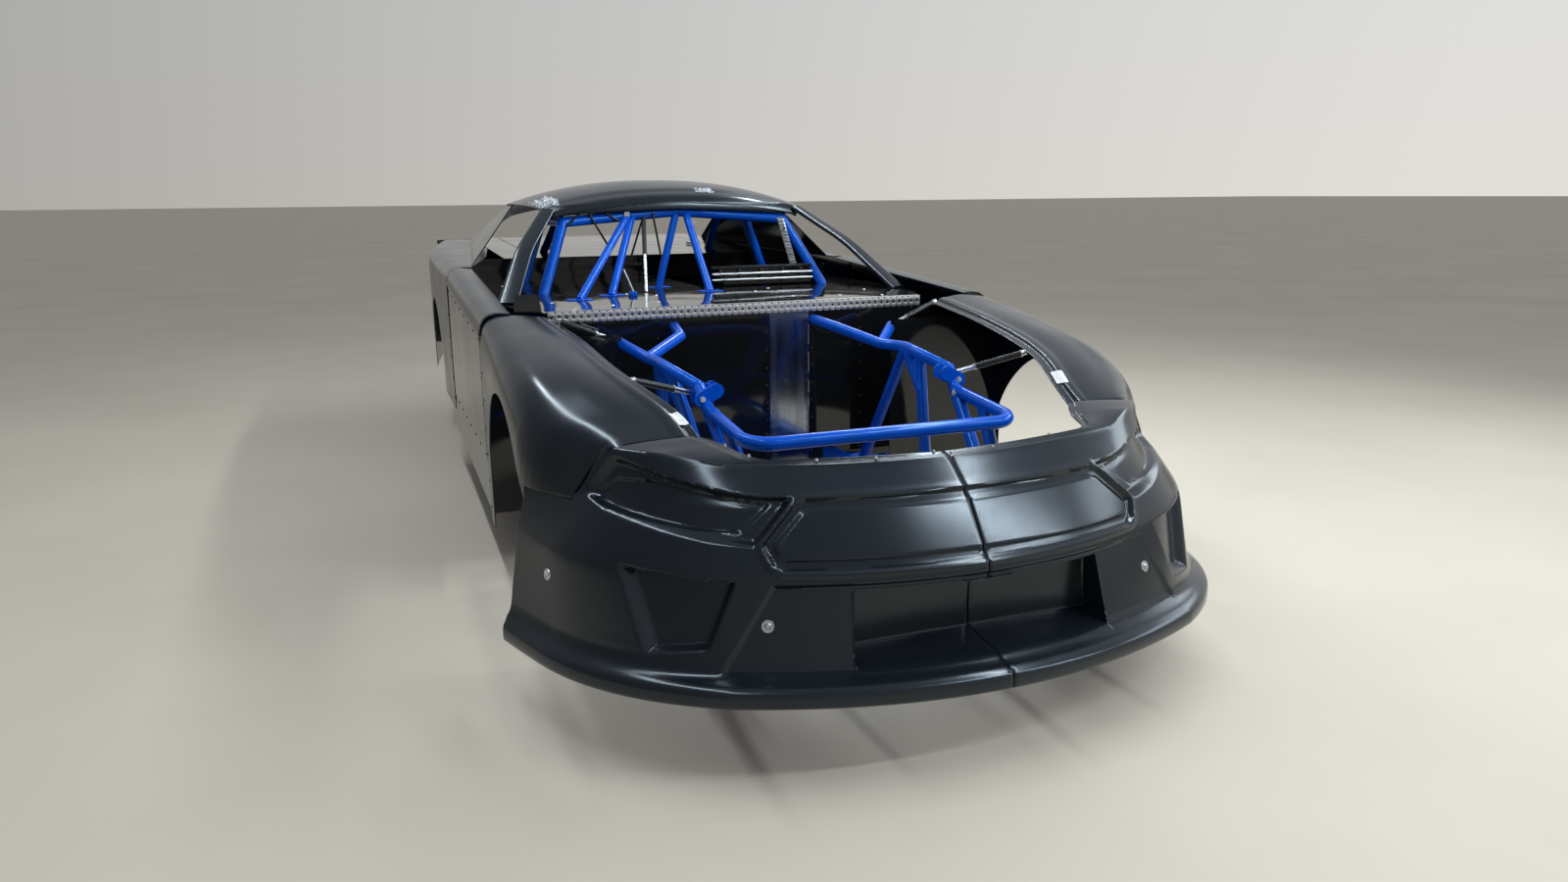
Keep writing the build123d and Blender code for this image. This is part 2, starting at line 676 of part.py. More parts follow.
# Front clip
dash_joint = (262, hoop_front_y, dash_bar)
wall_point = (293, 1640, dash_bar - 17)
rail_joint = (428, 1557, dash_bar - 74)
shock_top = (437, 1378, dash_bar - 63)
shock_end = (408, 1035, dash_bar - 85)
stub_end = (512, 1646, dash_bar - 22)
second_leg = ((427, 1257, dash_bar - 78), (345, 1040, clip_rail_top))
strut_end = (405, 1199, dash_bar - 188)
arm_leg_foot = (345, 603, clip_rail_top)
legs = ((shock_top, (360, 1560, clip_rail_top)), second_leg, (shock_top, strut_end),
        (shock_end, arm_leg_foot), (rail_joint, stub_end))
side_tubes = bar((dash_joint, wall_point, rail_joint, shock_top, shock_end), clip_diameter)
for start, end in legs:
    side_tubes = side_tubes + bar((start, end), clip_diameter)
parts["upper_rails_left"] = side_tubes
parts["upper_rails_right"] = mirror(side_tubes, about=Plane.YZ)
front_corner = (399, 630, shock_end[2] - 86)
hoop_end = (399, 968, shock_end[2] - 58)
front_points = [hoop_end, front_corner]
front_points = front_points + [(-x, y, z) for x, y, z in reversed(front_points)]
front_leg = bar(((399, 815, shock_end[2] - 72), (345, 560, clip_rail_top)), clip_diameter)
parts["front_hoop"] = bent(front_points, clip_diameter, front_hoop_bend) + both_sides(front_leg)
# Ears for the upper suspension arm: two oblong plates across the tube, their high end toward the middle of
# the car, with the hole for the arm's bolt
ear_y = 1008
ear_gap = 39
ear_thickness = 6
ear_length = 92
ear_width = 44
ear_middle = (394, shock_end[2] - 16)
ear_lean = -27
arm_bolt = (373, shock_end[2] - 5)
arm_bolt_radius = 6.35
ear_face = Pos(*ear_middle) * Rot(0, 0, ear_lean) * SlotOverall(ear_length, ear_width)
ear_face = Plane.XZ * (ear_face - Pos(*arm_bolt) * Circle(arm_bolt_radius))
ears = Pos(0, ear_y - ear_gap / 2, 0) * extrude(ear_face, ear_thickness)
ears = ears + Pos(0, ear_y + ear_gap / 2 + ear_thickness, 0) * extrude(ear_face, ear_thickness)
parts["arm_brackets"] = both_sides(ears)
# Bar behind the nose, with the tabs that the nose is bolted to
bumper_z = 263
bumper_y = 243
bumper_end = (862, 640, 300)
nose_bolt = (515, 196)
bumper = bar((bumper_end, (500, bumper_y + 7, bumper_z), (0, bumper_y - 10, bumper_z),
              (-500, bumper_y + 7, bumper_z), (-bumper_end[0], *bumper_end[1:])), strut_diameter)
rail_stub = bar(((clip_rail_x, bumper_y, bumper_z), (clip_rail_x, clip_rail_front + 20, 200)), 30)
nose_tab = box_between((nose_bolt[0] - 20, nose_bolt[1] - 20, bumper_z - 20),
                       (nose_bolt[0] + 20, bumper_y + 10, bumper_z + 20))
side_tab = box_between((bumper_end[0] - 20, bumper_end[1] - 30, bumper_end[2] - 15),
                       (950, bumper_end[1], bumper_end[2] + 15))
bumper = bumper + both_sides(rail_stub) + both_sides(nose_tab) + both_sides(side_tab)
parts["bumper_bar"] = bumper & nose_inside
# Rods from the front clip out to the edges of the fenders
brace = (bar((stub_end, (706, 1662, deck_height - 8)), rod_diameter)
         + bar(((418, 1047, shock_end[2] - 19), (632, 946, 701)), rod_diameter))
parts["fender_braces_left"] = brace
parts["fender_braces_right"] = mirror(brace, about=Plane.YZ)
# Bar inside the rear bumper cover
tail_z = tail_rail_top + 40
tail_y = quarter_end + 30
tail_bend_x = 480
tail_end = (690, quarter_end - 10, tail_z)
tab_low_x = 300
tab_high_x = 330
tail = bar((tail_end, (tail_bend_x, tail_y, tail_z), (-tail_bend_x, tail_y, tail_z),
            (-tail_end[0], *tail_end[1:])), strut_diameter)
tail_leg = box_between((rear_rail_x - 20, quarter_end - 60, tail_rail_top - 40),
                       (rear_rail_x + 20, tail_y - 10, tail_z + 10))
tail_tab = box_between((tab_low_x, tail_y, tail_z - 15),
                       (tab_high_x, overall_length - 2 * skin - sheet, tail_z + 15))
tail_post = box_between((tab_low_x, tail_y - 15, tail_z), (tab_high_x, tail_y + 10, deck_line(quarter_end)))
parts["tail_bar"] = tail + both_sides(tail_leg) + both_sides(tail_tab) + both_sides(tail_post)

# Stands
stand_foot = 260
stand_taper = 18
stand = None
for x, y, top in ((clip_rail_x, 800, clip_rail_floor), (perimeter_x, 3000, rail_floor)):
    foot = Pos(x, y, -stand_lift) * Rectangle(stand_foot, stand_foot)
    leg = extrude(foot, top + stand_lift, taper=stand_taper)
    stand = leg if stand is None else stand + leg
parts["stands"] = both_sides(stand)

# What lies in the way of another piece is cut to it. Columns: the piece that is cut, the piece it meets
seats = (
    ("roof", "quarter_left"),
    ("roof", "quarter_right"),
    ("roof", "fender_left"),
    ("roof", "fender_right"),
    ("rear_bulkhead", "quarter_left"),
    ("rear_bulkhead", "quarter_right"),
    ("rear_bulkhead", "frame_rails"),
    ("rear_bulkhead", "rear_tray"),
    ("rear_bulkhead", "interior_deck"),
    ("rear_bulkhead", "rear_stays"),
    ("rear_bulkhead", "roof"),
    ("rear_tray", "roof"),
    ("rear_tray", "rear_stays"),
    ("rear_tray", "rear_bumper_cover"),
    ("lid_hinges", "rear_tray"),
    ("main_hoop", "frame_rails"),
    ("halo_and_posts", "frame_rails"),
    ("halo_and_posts", "main_hoop"),
    ("windshield_bars", "halo_and_posts"),
    ("windshield_bars", "roof"),
    ("dash_panel", "halo_and_posts"),
    ("firewall_left", "frame_rails"),
    ("firewall_right", "frame_rails"),
    ("firewall_centre_panel", "frame_rails"),
    ("firewall_left", "upper_rails_left"),
    ("firewall_right", "upper_rails_right"),
    ("front_hoop", "upper_rails_left"),
    ("front_hoop", "upper_rails_right"),
    ("front_hoop", "frame_rails"),
    ("upper_rails_left", "frame_rails"),
    ("upper_rails_right", "frame_rails"),
    ("upper_rails_left", "cowl_hoop"),
    ("upper_rails_right", "cowl_hoop"),
    ("arm_brackets", "upper_rails_left"),
    ("arm_brackets", "upper_rails_right"),
    ("arm_brackets", "front_hoop"),
    ("fender_braces_left", "upper_rails_left"),
    ("fender_braces_right", "upper_rails_right"),
    ("fender_braces_left", "arm_brackets"),
    ("fender_braces_right", "arm_brackets"),
    ("fender_braces_left", "fender_left"),
    ("fender_braces_right", "fender_right"),
    ("splash_panel_left", "upper_rails_left"),
    ("splash_panel_right", "upper_rails_right"),
    ("splash_panel_left", "fender_left"),
    ("splash_panel_right", "fender_right"),
    ("cowl_hoop", "frame_rails"),
    ("cowl_hoop", "halo_and_posts"),
    ("rear_stays", "frame_rails"),
    ("rear_stays", "main_hoop"),
    ("door_bars_left", "main_hoop"),
    ("door_bars_right", "main_hoop"),
    ("door_bars_left", "halo_and_posts"),
    ("door_bars_right", "halo_and_posts"),
    ("door_bars_left", "door_left"),
    ("door_bars_right", "door_right"),
    ("bumper_bar", "frame_rails"),
    ("tail_bar", "frame_rails"),
    ("tail_bar", "rear_bumper_cover"),
)
for piece, meets in seats:
    parts[piece] = parts[piece] - parts[meets]

os.makedirs("parts", exist_ok=True)
place = Location((0, -overall_length / 2, stand_lift))
for name, piece in parts.items():
    solids = [place * solid for solid in piece.solids()]
    shape = solids[0] if len(solids) == 1 else Compound(children=solids)
    export_step(shape, "parts/" + name + ".step")
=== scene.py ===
import bpy
import bmesh
from math import radians, sin, cos, pi, sqrt
from mathutils import Vector, Matrix, Euler, noise
from mathutils.bvhtree import BVHTree


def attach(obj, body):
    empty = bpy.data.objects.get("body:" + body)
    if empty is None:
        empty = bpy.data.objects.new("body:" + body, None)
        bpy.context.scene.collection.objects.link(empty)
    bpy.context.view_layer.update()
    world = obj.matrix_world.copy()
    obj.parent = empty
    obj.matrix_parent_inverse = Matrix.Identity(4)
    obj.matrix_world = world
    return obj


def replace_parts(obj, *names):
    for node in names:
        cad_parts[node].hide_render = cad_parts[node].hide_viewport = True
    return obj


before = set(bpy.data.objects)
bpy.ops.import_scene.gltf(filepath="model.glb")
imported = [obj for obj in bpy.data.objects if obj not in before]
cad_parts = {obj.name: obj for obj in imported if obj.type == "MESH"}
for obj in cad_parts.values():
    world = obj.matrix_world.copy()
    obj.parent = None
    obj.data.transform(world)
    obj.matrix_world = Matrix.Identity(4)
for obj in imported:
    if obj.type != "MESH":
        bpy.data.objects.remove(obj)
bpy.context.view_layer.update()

# The view: the camera stands off the right front corner of the car at chest height, with a wide phone lens.
# Floor and backdrop are plain and pale, and long soft lamps hang over the car as shop tubes do.
camera = bpy.data.objects.new("camera", bpy.data.cameras.new("camera"))
bpy.context.scene.collection.objects.link(camera)
camera.data.lens = 24.37
camera.data.sensor_width = 36
view_yaw = Matrix.Rotation(radians(-21.024), 4, "Z")
view_tilt = Matrix.Rotation(radians(90 - 13.151), 4, "X")
view_roll = Matrix.Rotation(radians(-0.479), 4, "Z")
camera.matrix_world = Matrix.Translation((-1.259, -4.330, 1.271)) @ view_yaw @ view_tilt @ view_roll
bpy.context.scene.camera = camera
bpy.context.scene.view_settings.view_transform = "Standard"


def node_material(name):
    """A new material and its shader node."""
    material = bpy.data.materials.new(name)
    material.use_nodes = True
    return material, material.node_tree.nodes["Principled BSDF"]


def add_node(material, kind, **sockets):
    """A node of one kind in a material, with its sockets set."""
    node = material.node_tree.nodes.new(kind)
    for socket, value in sockets.items():
        node.inputs[socket.replace("_", " ")].default_value = value
    return node


def wire(material, source, target):
    """A link between two sockets."""
    material.node_tree.links.new(source, target)


def flecks(material, scale, stretch=(1, 1, 1), detail=4, roughness=0.55):
    """Noise on the object's own coordinates, stretched along the axes."""
    place = add_node(material, "ShaderNodeTexCoord")
    mapping = add_node(material, "ShaderNodeMapping")
    mapping.inputs["Scale"].default_value = stretch
    cloud = add_node(material, "ShaderNodeTexNoise", Scale=scale, Detail=detail, Roughness=roughness)
    wire(material, place.outputs["Object"], mapping.inputs["Vector"])
    wire(material, mapping.outputs["Vector"], cloud.inputs["Vector"])
    return cloud


def ramp(material, source, stops):
    """A colour ramp read from a source socket. Stops: place, then grey value or colour."""
    node = add_node(material, "ShaderNodeValToRGB")
    band = node.color_ramp
    while len(band.elements) < len(stops):
        band.elements.new(0.5)
    for element, (place, value) in zip(band.elements, stops):
        element.position = place
        element.color = (value, value, value, 1) if isinstance(value, (int, float)) else (*value, 1)
    wire(material, source, node.inputs["Fac"])
    return node


def shade(material, cloud, stops, target):
    """A socket that follows a noise node through a colour ramp."""
    wire(material, ramp(material, cloud.outputs["Fac"], stops).outputs["Color"], target)


floor_paint, shader = node_material("floor_paint")
shade(floor_paint, flecks(floor_paint, 0.7), ((0.3, (0.60, 0.53, 0.43)), (0.7, (0.66, 0.59, 0.48))),
      shader.inputs["Base Color"])
shader.inputs["Roughness"].default_value = 0.75
floor_half = 150
bm = bmesh.new()
bmesh.ops.create_grid(bm, x_segments=2, y_segments=2, size=floor_half)
floor_mesh = bpy.data.meshes.new("floor")
bm.to_mesh(floor_mesh)
bm.free()
floor_mesh.materials.append(floor_paint)
floor = bpy.data.objects.new("floor", floor_mesh)
bpy.context.scene.collection.objects.link(floor)

world = bpy.data.worlds.new("studio")
bpy.context.scene.world = world
world.use_nodes = True
place = add_node(world, "ShaderNodeTexCoord")
split = add_node(world, "ShaderNodeSeparateXYZ")
wire(world, place.outputs["Generated"], split.inputs["Vector"])
sky = ramp(world, split.outputs["Z"], ((0.0, (0.66, 0.64, 0.60)), (0.25, (0.62, 0.63, 0.64)),
                                       (0.8, (0.40, 0.43, 0.48))))
wire(world, sky.outputs["Color"], world.node_tree.nodes["Background"].inputs["Color"])
across = add_node(world, "ShaderNodeMapRange", From_Min=-1.0, From_Max=0.8, To_Min=0.28, To_Max=1.15)
wire(world, split.outputs["X"], across.inputs["Value"])
wire(world, across.outputs["Result"], world.node_tree.nodes["Background"].inputs["Strength"])
# Columns: place, size across and along, power, turn about x and about y
for place, size, power, tilt in (
    ((-1.5, -0.6, 4.0), (0.14, 6.0), 74, (0, -8, 0)),
    ((1.7, -0.6, 3.4), (0.14, 6.5), 104, (0, 16, 0)),
    ((2.7, -4.4, 3.4), (3.2, 0.10), 70, (32, 14, 0)),
    ((4.6, -1.6, 2.6), (0.9, 4.0), 50, (0, 58, 0)),
):
    lamp = bpy.data.lights.new("lamp", "AREA")
    lamp.color = (0.84, 0.93, 1.0)
    lamp.shape = "RECTANGLE"
    lamp.size, lamp.size_y = size
    lamp.energy = power
    holder = bpy.data.objects.new("lamp", lamp)
    holder.location = place
    holder.rotation_euler = Euler([radians(a) for a in tilt])
    bpy.context.scene.collection.objects.link(holder)

# Moulded nose: two halves of satin black plastic, formed with pressed headlight panels, a centre panel,
# brake ducts and a grille pocket, and a thick lip round the foot. They are bolted to the bar behind them
# and meet at a seam in the middle.
tail_half = 2.475
stand_lift = 0.08


def at_car(x, y, z):
    """A point given in millimetres from the lip and the ground at ride height, in the row's frame."""
    return Vector((x / 1000, y / 1000 - tail_half, z / 1000 + stand_lift))


def relief(material, shader, cloud, strength, distance):
    """A bump on the shader from a noise node."""
    bump = add_node(material, "ShaderNodeBump", Strength=strength, Distance=distance)
    wire(material, cloud.outputs["Fac"], bump.inputs["Height"])
    wire(material, bump.outputs["Normal"], shader.inputs["Normal"])


def moulded(name, tone, roughness_low, roughness_high, scuff):
    """Satin moulded plastic: uneven sheen, faint grain and pale scuffs from handling."""
    material, shader = node_material(name)
    scratches = flecks(material, 11.0, (1.0, 9.0, 5.0), detail=9, roughness=0.72)
    worn = add_node(material, "ShaderNodeMath")
    worn.operation = "MULTIPLY"
    shade(material, scratches, ((0.56, 0.0), (0.80, 1.0)), worn.inputs[0])
    shade(material, flecks(material, 2.2, detail=3), ((0.46, 0.0), (0.72, 1.0)), worn.inputs[1])
    colour = add_node(material, "ShaderNodeMix")
    colour.data_type = "RGBA"
    colour.inputs["A"].default_value = (*tone, 1)
    colour.inputs["B"].default_value = (*(t * scuff for t in tone), 1)
    wire(material, worn.outputs[0], colour.inputs["Factor"])
    wire(material, colour.outputs["Result"], shader.inputs["Base Color"])
    shade(material, flecks(material, 5.0, detail=6), ((0.3, roughness_low), (0.7, roughness_high)),
          shader.inputs["Roughness"])
    shader.inputs["Specular Tint"].default_value = (0.82, 0.93, 1.0, 1)
    relief(material, shader, flecks(material, 420.0, detail=2), 0.06, 0.0006)
    return material


body_plastic = moulded("body_plastic", (0.0070, 0.0095, 0.0135), 0.15, 0.23, 2.8)
# Finished pieces by name, as trees that give the nearest place on them
skins = {}
# No two places on the car are likely to reach equally far along this line
sorting_line = Vector((1, 31.7, 1009))


def put_in_order(bm):
    """Points and faces are listed by their place, as thickening lists them in another order each run."""
    bm.verts.sort(key=lambda v: v.co.dot(sorting_line))
    bm.faces.sort(key=lambda f: f.calc_center_median().dot(sorting_line))


def finish_piece(bm, name, material, body="chassis", sharp=32):
    """A mesh made into a piece: smooth faces with its edges kept, its material and its body."""
    put_in_order(bm)
    mesh = bpy.data.meshes.new(name)
    for face in bm.faces:
        face.smooth = True
    bm.to_mesh(mesh)
    skins[name] = BVHTree.FromBMesh(bm)
    bm.free()
    mesh.set_sharp_from_angle(angle=radians(sharp))
    mesh.materials.append(material)
    piece = bpy.data.objects.new(name, mesh)
    bpy.context.scene.collection.objects.link(piece)
    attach(piece, body)
    return piece


def between(table, x):
    """The values of a table of rows at a place x, straight between its rows."""
    for (x0, *low), (x1, *high) in zip(table, table[1:]):
        if x <= x1 or (x1, *high) == tuple(table[-1]):
            share = min(1.0, max(0.0, (x - x0) / (x1 - x0)))
            return [a + (b - a) * share for a, b in zip(low, high)]


def eased(value):
    """Smooth step from 0 to 1."""
    value = min(1.0, max(0.0, value))
    return value * value * (3 - 2 * value)


# Pressed panels of one nose half in front view. Columns of each edge: x, z, and how wide its bevel is
brow_pocket = (
    ((403, 520, 11), (491, 524, 11), (573, 535, 12), (672, 559, 14), (730, 583, 26), (790, 612, 50)),
    ((403, 520, 12), (515, 422, 13), (610, 428, 26), (698, 441, 30), (796, 462, 26), (845, 492, 26),
     (870, 612, 60)),
)
almond = (
    ((461, 507, 5), (711, 545, 9), (773, 540, 14), (825, 487, 8)),
    ((461, 507, 5), (541, 447, 5), (624, 451, 5), (728, 463, 5), (807, 475, 6), (825, 487, 8)),
)
panel_rim = (
    ((-9, 531, 14), (402, 531, 14), (434, 516, 14), (522, 430, 14)),
    ((-9, 356, 14), (350, 356, 14), (470, 358, 14), (502, 372, 14), (522, 430, 14)),
)
panel_groove = (
    ((-9, 518, 10), (388, 518, 10), (416, 509, 10), (496, 437, 10), (505, 424, 10)),
    ((-9, 370, 10), (350, 370, 10), (466, 372, 10), (488, 384, 10), (505, 424, 10)),
)
panel_middle = (
    ((-9, 500, 9), (380, 500, 9), (404, 492, 9), (474, 431, 9), (482, 420, 9)),
    ((-9, 391, 9), (345, 391, 9), (458, 392, 9), (472, 400, 9), (482, 420, 9)),
)
lower_face = (
    ((-9, 350, 12), (496, 350, 12), (620, 166, 12)),
    ((-9, 100, 12), (620, 100, 12)),
)
duct = (
    ((566, 356, 10), (798, 376, 10)),
    ((566, 356, 12), (636, 204, 18), (766, 176, 30), (800, 376, 24)),
)
grille = (
    ((-9, 331, 8), (323, 331, 5), (338, 163, 5)),
    ((-9, 163, 20), (338, 163, 20)),
)
# Columns: edges of the panel, how deep it is pressed, and whether it fades out before the fender joint
pressed_panels = (
    (brow_pocket, 20, True),
    (almond, 8, True),
    (panel_rim, -4, False),
    (panel_groove, 14, False),
    (panel_middle, -7, False),
    (lower_face, 8, False),
    (duct, 30, False),
)
grille_wall = 205


def pressed_share(edges, x, z):
    """How far a point lies inside a pressed panel, 0 outside to 1 on its floor."""
    top, bottom = edges
    if x < top[0][0] or x > bottom[-1][0]:
        return 0.0
    if between(top, x)[0] < z or between(bottom, x)[0] > z:
        return 0.0
    share = 1.0
    for run in edges:
        nearest = 1e9
        for (x0, z0, bevel0), (x1, z1, bevel1) in zip(run, run[1:]):
            along = ((x - x0) * (x1 - x0) + (z - z0) * (z1 - z0)) / ((x1 - x0) ** 2 + (z1 - z0) ** 2)
            along = min(1.0, max(0.0, along))
            away = sqrt((x0 + (x1 - x0) * along - x) ** 2 + (z0 + (z1 - z0) * along - z) ** 2)
            nearest = min(nearest, away / (bevel0 + (bevel1 - bevel0) * along))
        share *= eased(nearest)
    return share


# Plan of the nose at its levels. Columns: height, y at the middle, x and y at the end of the front curve,
# at the end of the corner, and where the side ends
nose_levels = (
    (172, 69, 600, 203, 928, 586, 1004, 774),
    (372, 122, 590, 262, 908, 592, 971, 810),
    (505, 222, 530, 322, 812, 622, 945, 852),
    (602, 354, 505, 432, 765, 590, 905, 852),
)
lip_plan = (0, 0, 620, 140, 975, 580, 1028, 740)
opening_front = [Vector((469 * t, 345 + 60 * t * t, 584 + 9 * t)) for t in (0, 0.25, 0.5, 0.75, 0.97)]
opening_side = [Vector((497, 530, 601)), Vector((539, 592, 609))]
ledge_front = 572
ledge_corner = 578
corner_bulge = 0.096
front_share = 0.47
corner_share = 0.84


def plan_point(row, u):
    """A point of a plan outline, from the middle of the car round to the wheel opening."""
    middle_y, x1, y1, x2, y2, x3, y3 = row[1:]
    if u <= front_share:
        t = u / front_share
        return x1 * t, middle_y + (y1 - middle_y) * t * t
    if u <= corner_share:
        t = (u - front_share) / (corner_share - front_share)
        out = 4 * t * (1 - t) * corner_bulge
        return x1 + (x2 - x1) * t + (y2 - y1) * out, y1 + (y2 - y1) * t - (x2 - x1) * out
    t = (u - corner_share) / (1 - corner_share)
    return x2 + (x3 - x2) * t, y2 + (y3 - y2) * t


def run_lengths(points):
    """How far along a run of points each one lies."""
    lengths = [0.0]
    for a, b in zip(points, points[1:]):
        lengths.append(lengths[-1] + (b - a).length)
    return lengths


def run_point(points, lengths, distance):
    """The point at a distance along a run."""
    distance = min(max(distance, 0.0), lengths[-1])
    for i in range(len(points) - 1):
        if distance <= lengths[i + 1] or i == len(points) - 2:
            share = (distance - lengths[i]) / max(1e-9, lengths[i + 1] - lengths[i])
            return points[i].lerp(points[i + 1], share)


def eased_point(points, lengths, distance, reach):
    """The point at a distance along a run whose corners are rounded over a reach each way."""
    reach = min(reach, distance, lengths[-1] - distance)
    total = Vector((0, 0, 0))
    for step in (-1, -0.66, -0.33, 0, 0.33, 0.66, 1):
        total += run_point(points, lengths, distance + step * reach)
    return total / 7


opening_edge = opening_front + opening_side
opening_lengths = run_lengths(opening_edge)
# Section of the lip, from its inner lower edge round to the foot of the face. Columns: reach from the face, z
lip_section = ((-6, 108), (22, 104), (44, 103), (56, 104), (62, 108), (66, 116), (66, 128), (65, 138),
               (60, 145), (50, 150), (36, 153), (22, 156), (12, 160), (5, 166))
lip_reach = 66
lip_sag = 14
lip_sag_reach = 60
face_rows = 126
top_rows = 26
flange_rows = 12
flange_band = 32
nose_columns = 260
nose_rows = len(lip_section) + face_rows + top_rows
opening_round = 34
# The top of the nose rises towards the fender: where this begins, over what length, and how high it gets
rise_start = 470
rise_span = 110
edge_rise = 3
top_rise = 6


def nose_grid_point(column, row):
    """A point of the nose skin before its panels are pressed."""
    u = column / nose_columns
    foot = plan_point(nose_levels[0], u)
    if row < len(lip_section):
        reach, z = lip_section[row]
        edge = plan_point(lip_plan, u)
        share = reach / lip_reach
        z -= lip_sag * eased((u - 0.45) / 0.5) * eased(reach / lip_sag_reach)
        return foot[0] + (edge[0] - foot[0]) * share, foot[1] + (edge[1] - foot[1]) * share, z
    row -= len(lip_section)
    top = ledge_front + (ledge_corner - ledge_front) * min(1.0, u / front_share)
    top += (nose_levels[-1][0] - ledge_corner) * eased((u - front_share) / (corner_share - front_share) * 1.6)
    if row <= face_rows:
        z = nose_levels[0][0] + (top - nose_levels[0][0]) * row / face_rows
        for low, high in zip(nose_levels, nose_levels[1:]):
            if z <= high[0] + 1e-6:
                share = (z - low[0]) / (high[0] - low[0])
                break
        a = plan_point(low, u)
        b = plan_point(high, u)
        return a[0] + (b[0] - a[0]) * share, a[1] + (b[1] - a[1]) * share, z
    brow = Vector(nose_grid_point(column, len(lip_section) + face_rows))
    if u <= front_share:
        along = opening_lengths[-3] * u / front_share
    else:
        along = opening_lengths[-3] + (opening_lengths[-1] - opening_lengths[-3]) * min(
            1.0, (u - front_share) / (corner_share - front_share))
    edge = eased_point(opening_edge, opening_lengths, along, opening_round)
    edge.z += edge_rise * eased((edge.y - rise_start) / rise_span)
    band = min(0.8, flange_band / (edge - brow).length)
    plain_rows = top_rows - flange_rows
    row -= face_rows
    share = (1 - band) * row / plain_rows if row <= plain_rows else 1 - band * (top_rows - row) / flange_rows
    point = brow.lerp(edge, share)
    hump = sin(pi * min(1, share * 1.6) / 2) * (1 - share * 0.5)
    point.z += top_rise * eased((point.y - rise_start) / rise_span) * hump
    return tuple(point)


def even_out(bm, verts, steps, heights=False):
    """Points drawn towards their neighbours in plan, and in height too where asked."""
    for step in range(steps):
        bmesh.ops.smooth_vert(bm, verts=verts, factor=0.5, use_axis_x=True, use_axis_y=True,
                              use_axis_z=heights)


def cut_by(bm, faces, point, normal):
    """The given faces are cut along a plane; both sides stay."""
    edges = {e for f in faces for e in f.edges}
    verts = {v for f in faces for v in f.verts}
    bmesh.ops.bisect_plane(bm, geom=[*faces, *edges, *verts], plane_co=point, plane_no=normal, dist=1e-5)


def faces_where(bm, test):
    """The faces whose middle passes the test."""
    return [f for f in bm.faces if test(f.calc_center_median())]


def drop_faces(bm, test):
    """The faces whose middle passes the test are deleted."""
    bmesh.ops.delete(bm, geom=faces_where(bm, test), context="FACES")


def turn_out(bm, score):
    """All faces are turned the same way, the one for which their scores add up to more than nothing."""
    bmesh.ops.recalc_face_normals(bm, faces=bm.faces)
    if sum(score(f) for f in bm.faces) < 0:
        bmesh.ops.reverse_faces(bm, faces=bm.faces)


# The joint of nose and fender: a sloping line at the wheel opening, a level, and a leaning line above it
joint_low = (740, 812, 469)
joint_high = ((854, 469), (772, 602))
joint_back = 590
joint_fade = 50
ledge_cut = 594

bm = bmesh.new()
bmesh.ops.create_grid(bm, x_segments=nose_columns, y_segments=nose_rows, size=0.5)
grid = {}
for vert in bm.verts:
    column = round((vert.co.x + 0.5) * nose_columns)
    row = round((vert.co.y + 0.5) * nose_rows)
    grid[column, row] = vert
    vert.co = Vector(nose_grid_point(column, row))
lip_rows = len(lip_section)
even_out(bm, [v for (column, row), v in grid.items()
              if 0 < column < nose_columns and lip_rows <= row < nose_rows], 16)
even_out(bm, [v for (column, row), v in grid.items()
              if 0.62 * nose_columns < column < nose_columns and 200 < v.co.z < 560], 90)
for row in range(nose_rows + 1):
    grid[0, row].co = (0, *grid[1, row].co.yz)

# The column nearest the side of the grille pocket is drawn onto its edge, so that the wall comes out straight
side_top_x, side_top_z = grille[0][1][:2]
side_foot_x, side_foot_z = grille[0][2][:2]
side_search_x = 333
side_search_row = lip_rows + 20
side_reach = 8
face_slope = 0.245
grille_column = min(range(nose_columns), key=lambda c: abs(grid[c, side_search_row].co.x - side_search_x))
shifts = {}
for row in range(lip_rows, lip_rows + face_rows):
    z = grid[grille_column, row].co.z
    down = (side_top_z - min(side_top_z, max(side_foot_z, z))) / (side_top_z - side_foot_z)
    wall_x = side_top_x + (side_foot_x - side_top_x) * down
    shifts[row] = (wall_x - grid[grille_column, row].co.x) * eased((z - 130) / 30) * eased((365 - z) / 30)
for (column, row), vert in grid.items():
    share = 1 - abs(column - grille_column) / side_reach
    if share > 0 and row in shifts:
        vert.co.x += shifts[row] * share
        vert.co.y += shifts[row] * share * face_slope

# The panels are pressed in along the way the face looks, and the band at the hood opening steps down
flange_step = 17
flange_drop = 5
bm.normal_update()
for (column, row), vert in grid.items():
    if row < lip_rows - 1:
        continue
    x, y, z = vert.co
    inward = -vert.normal
    inward.z *= 0.3
    inward.normalize()
    fade = eased((joint_back + (joint_high[1][1] - z) / 2 - y) / joint_fade)
    depth = 0
    if row <= lip_rows + face_rows:
        for edges, deep, fades in pressed_panels:
            depth += deep * (fade if fades else 1) * pressed_share(edges, x, z)
    move = inward * depth
    if row > nose_rows - flange_rows:
        from_edge = flange_band * (nose_rows - row) / flange_rows
        move = Vector((0, 0, -flange_drop * (1 - eased((from_edge - flange_step) / 6)) - 1))
    pocket = pressed_share(grille, x, z)
    if pocket > 0 and row < lip_rows + face_rows:
        move = Vector((0, (grille_wall - y) * pocket, 0))
    vert.co += move

# The edge at the seam is rolled in a little, and the flange behind it follows the skin at a distance
seam_half = 1.0
seam_step = 2.2
seam_depths = (2.2, 0.6, 0)
seam_inset = 9
for (column, row), vert in grid.items():
    if column < len(seam_depths):
        vert.co.x = max(vert.co.x, seam_half + column * seam_step)
        vert.co.y += seam_depths[column]
seam_run = []
for row in range(7, lip_rows + face_rows - 2):
    vert = grid[2, row]
    inner = vert.normal if row >= lip_rows else Vector((0, -0.5, 0.9))
    seam_run.append((vert.co.y - inner.y * seam_inset, vert.co.z - inner.z * seam_inset))

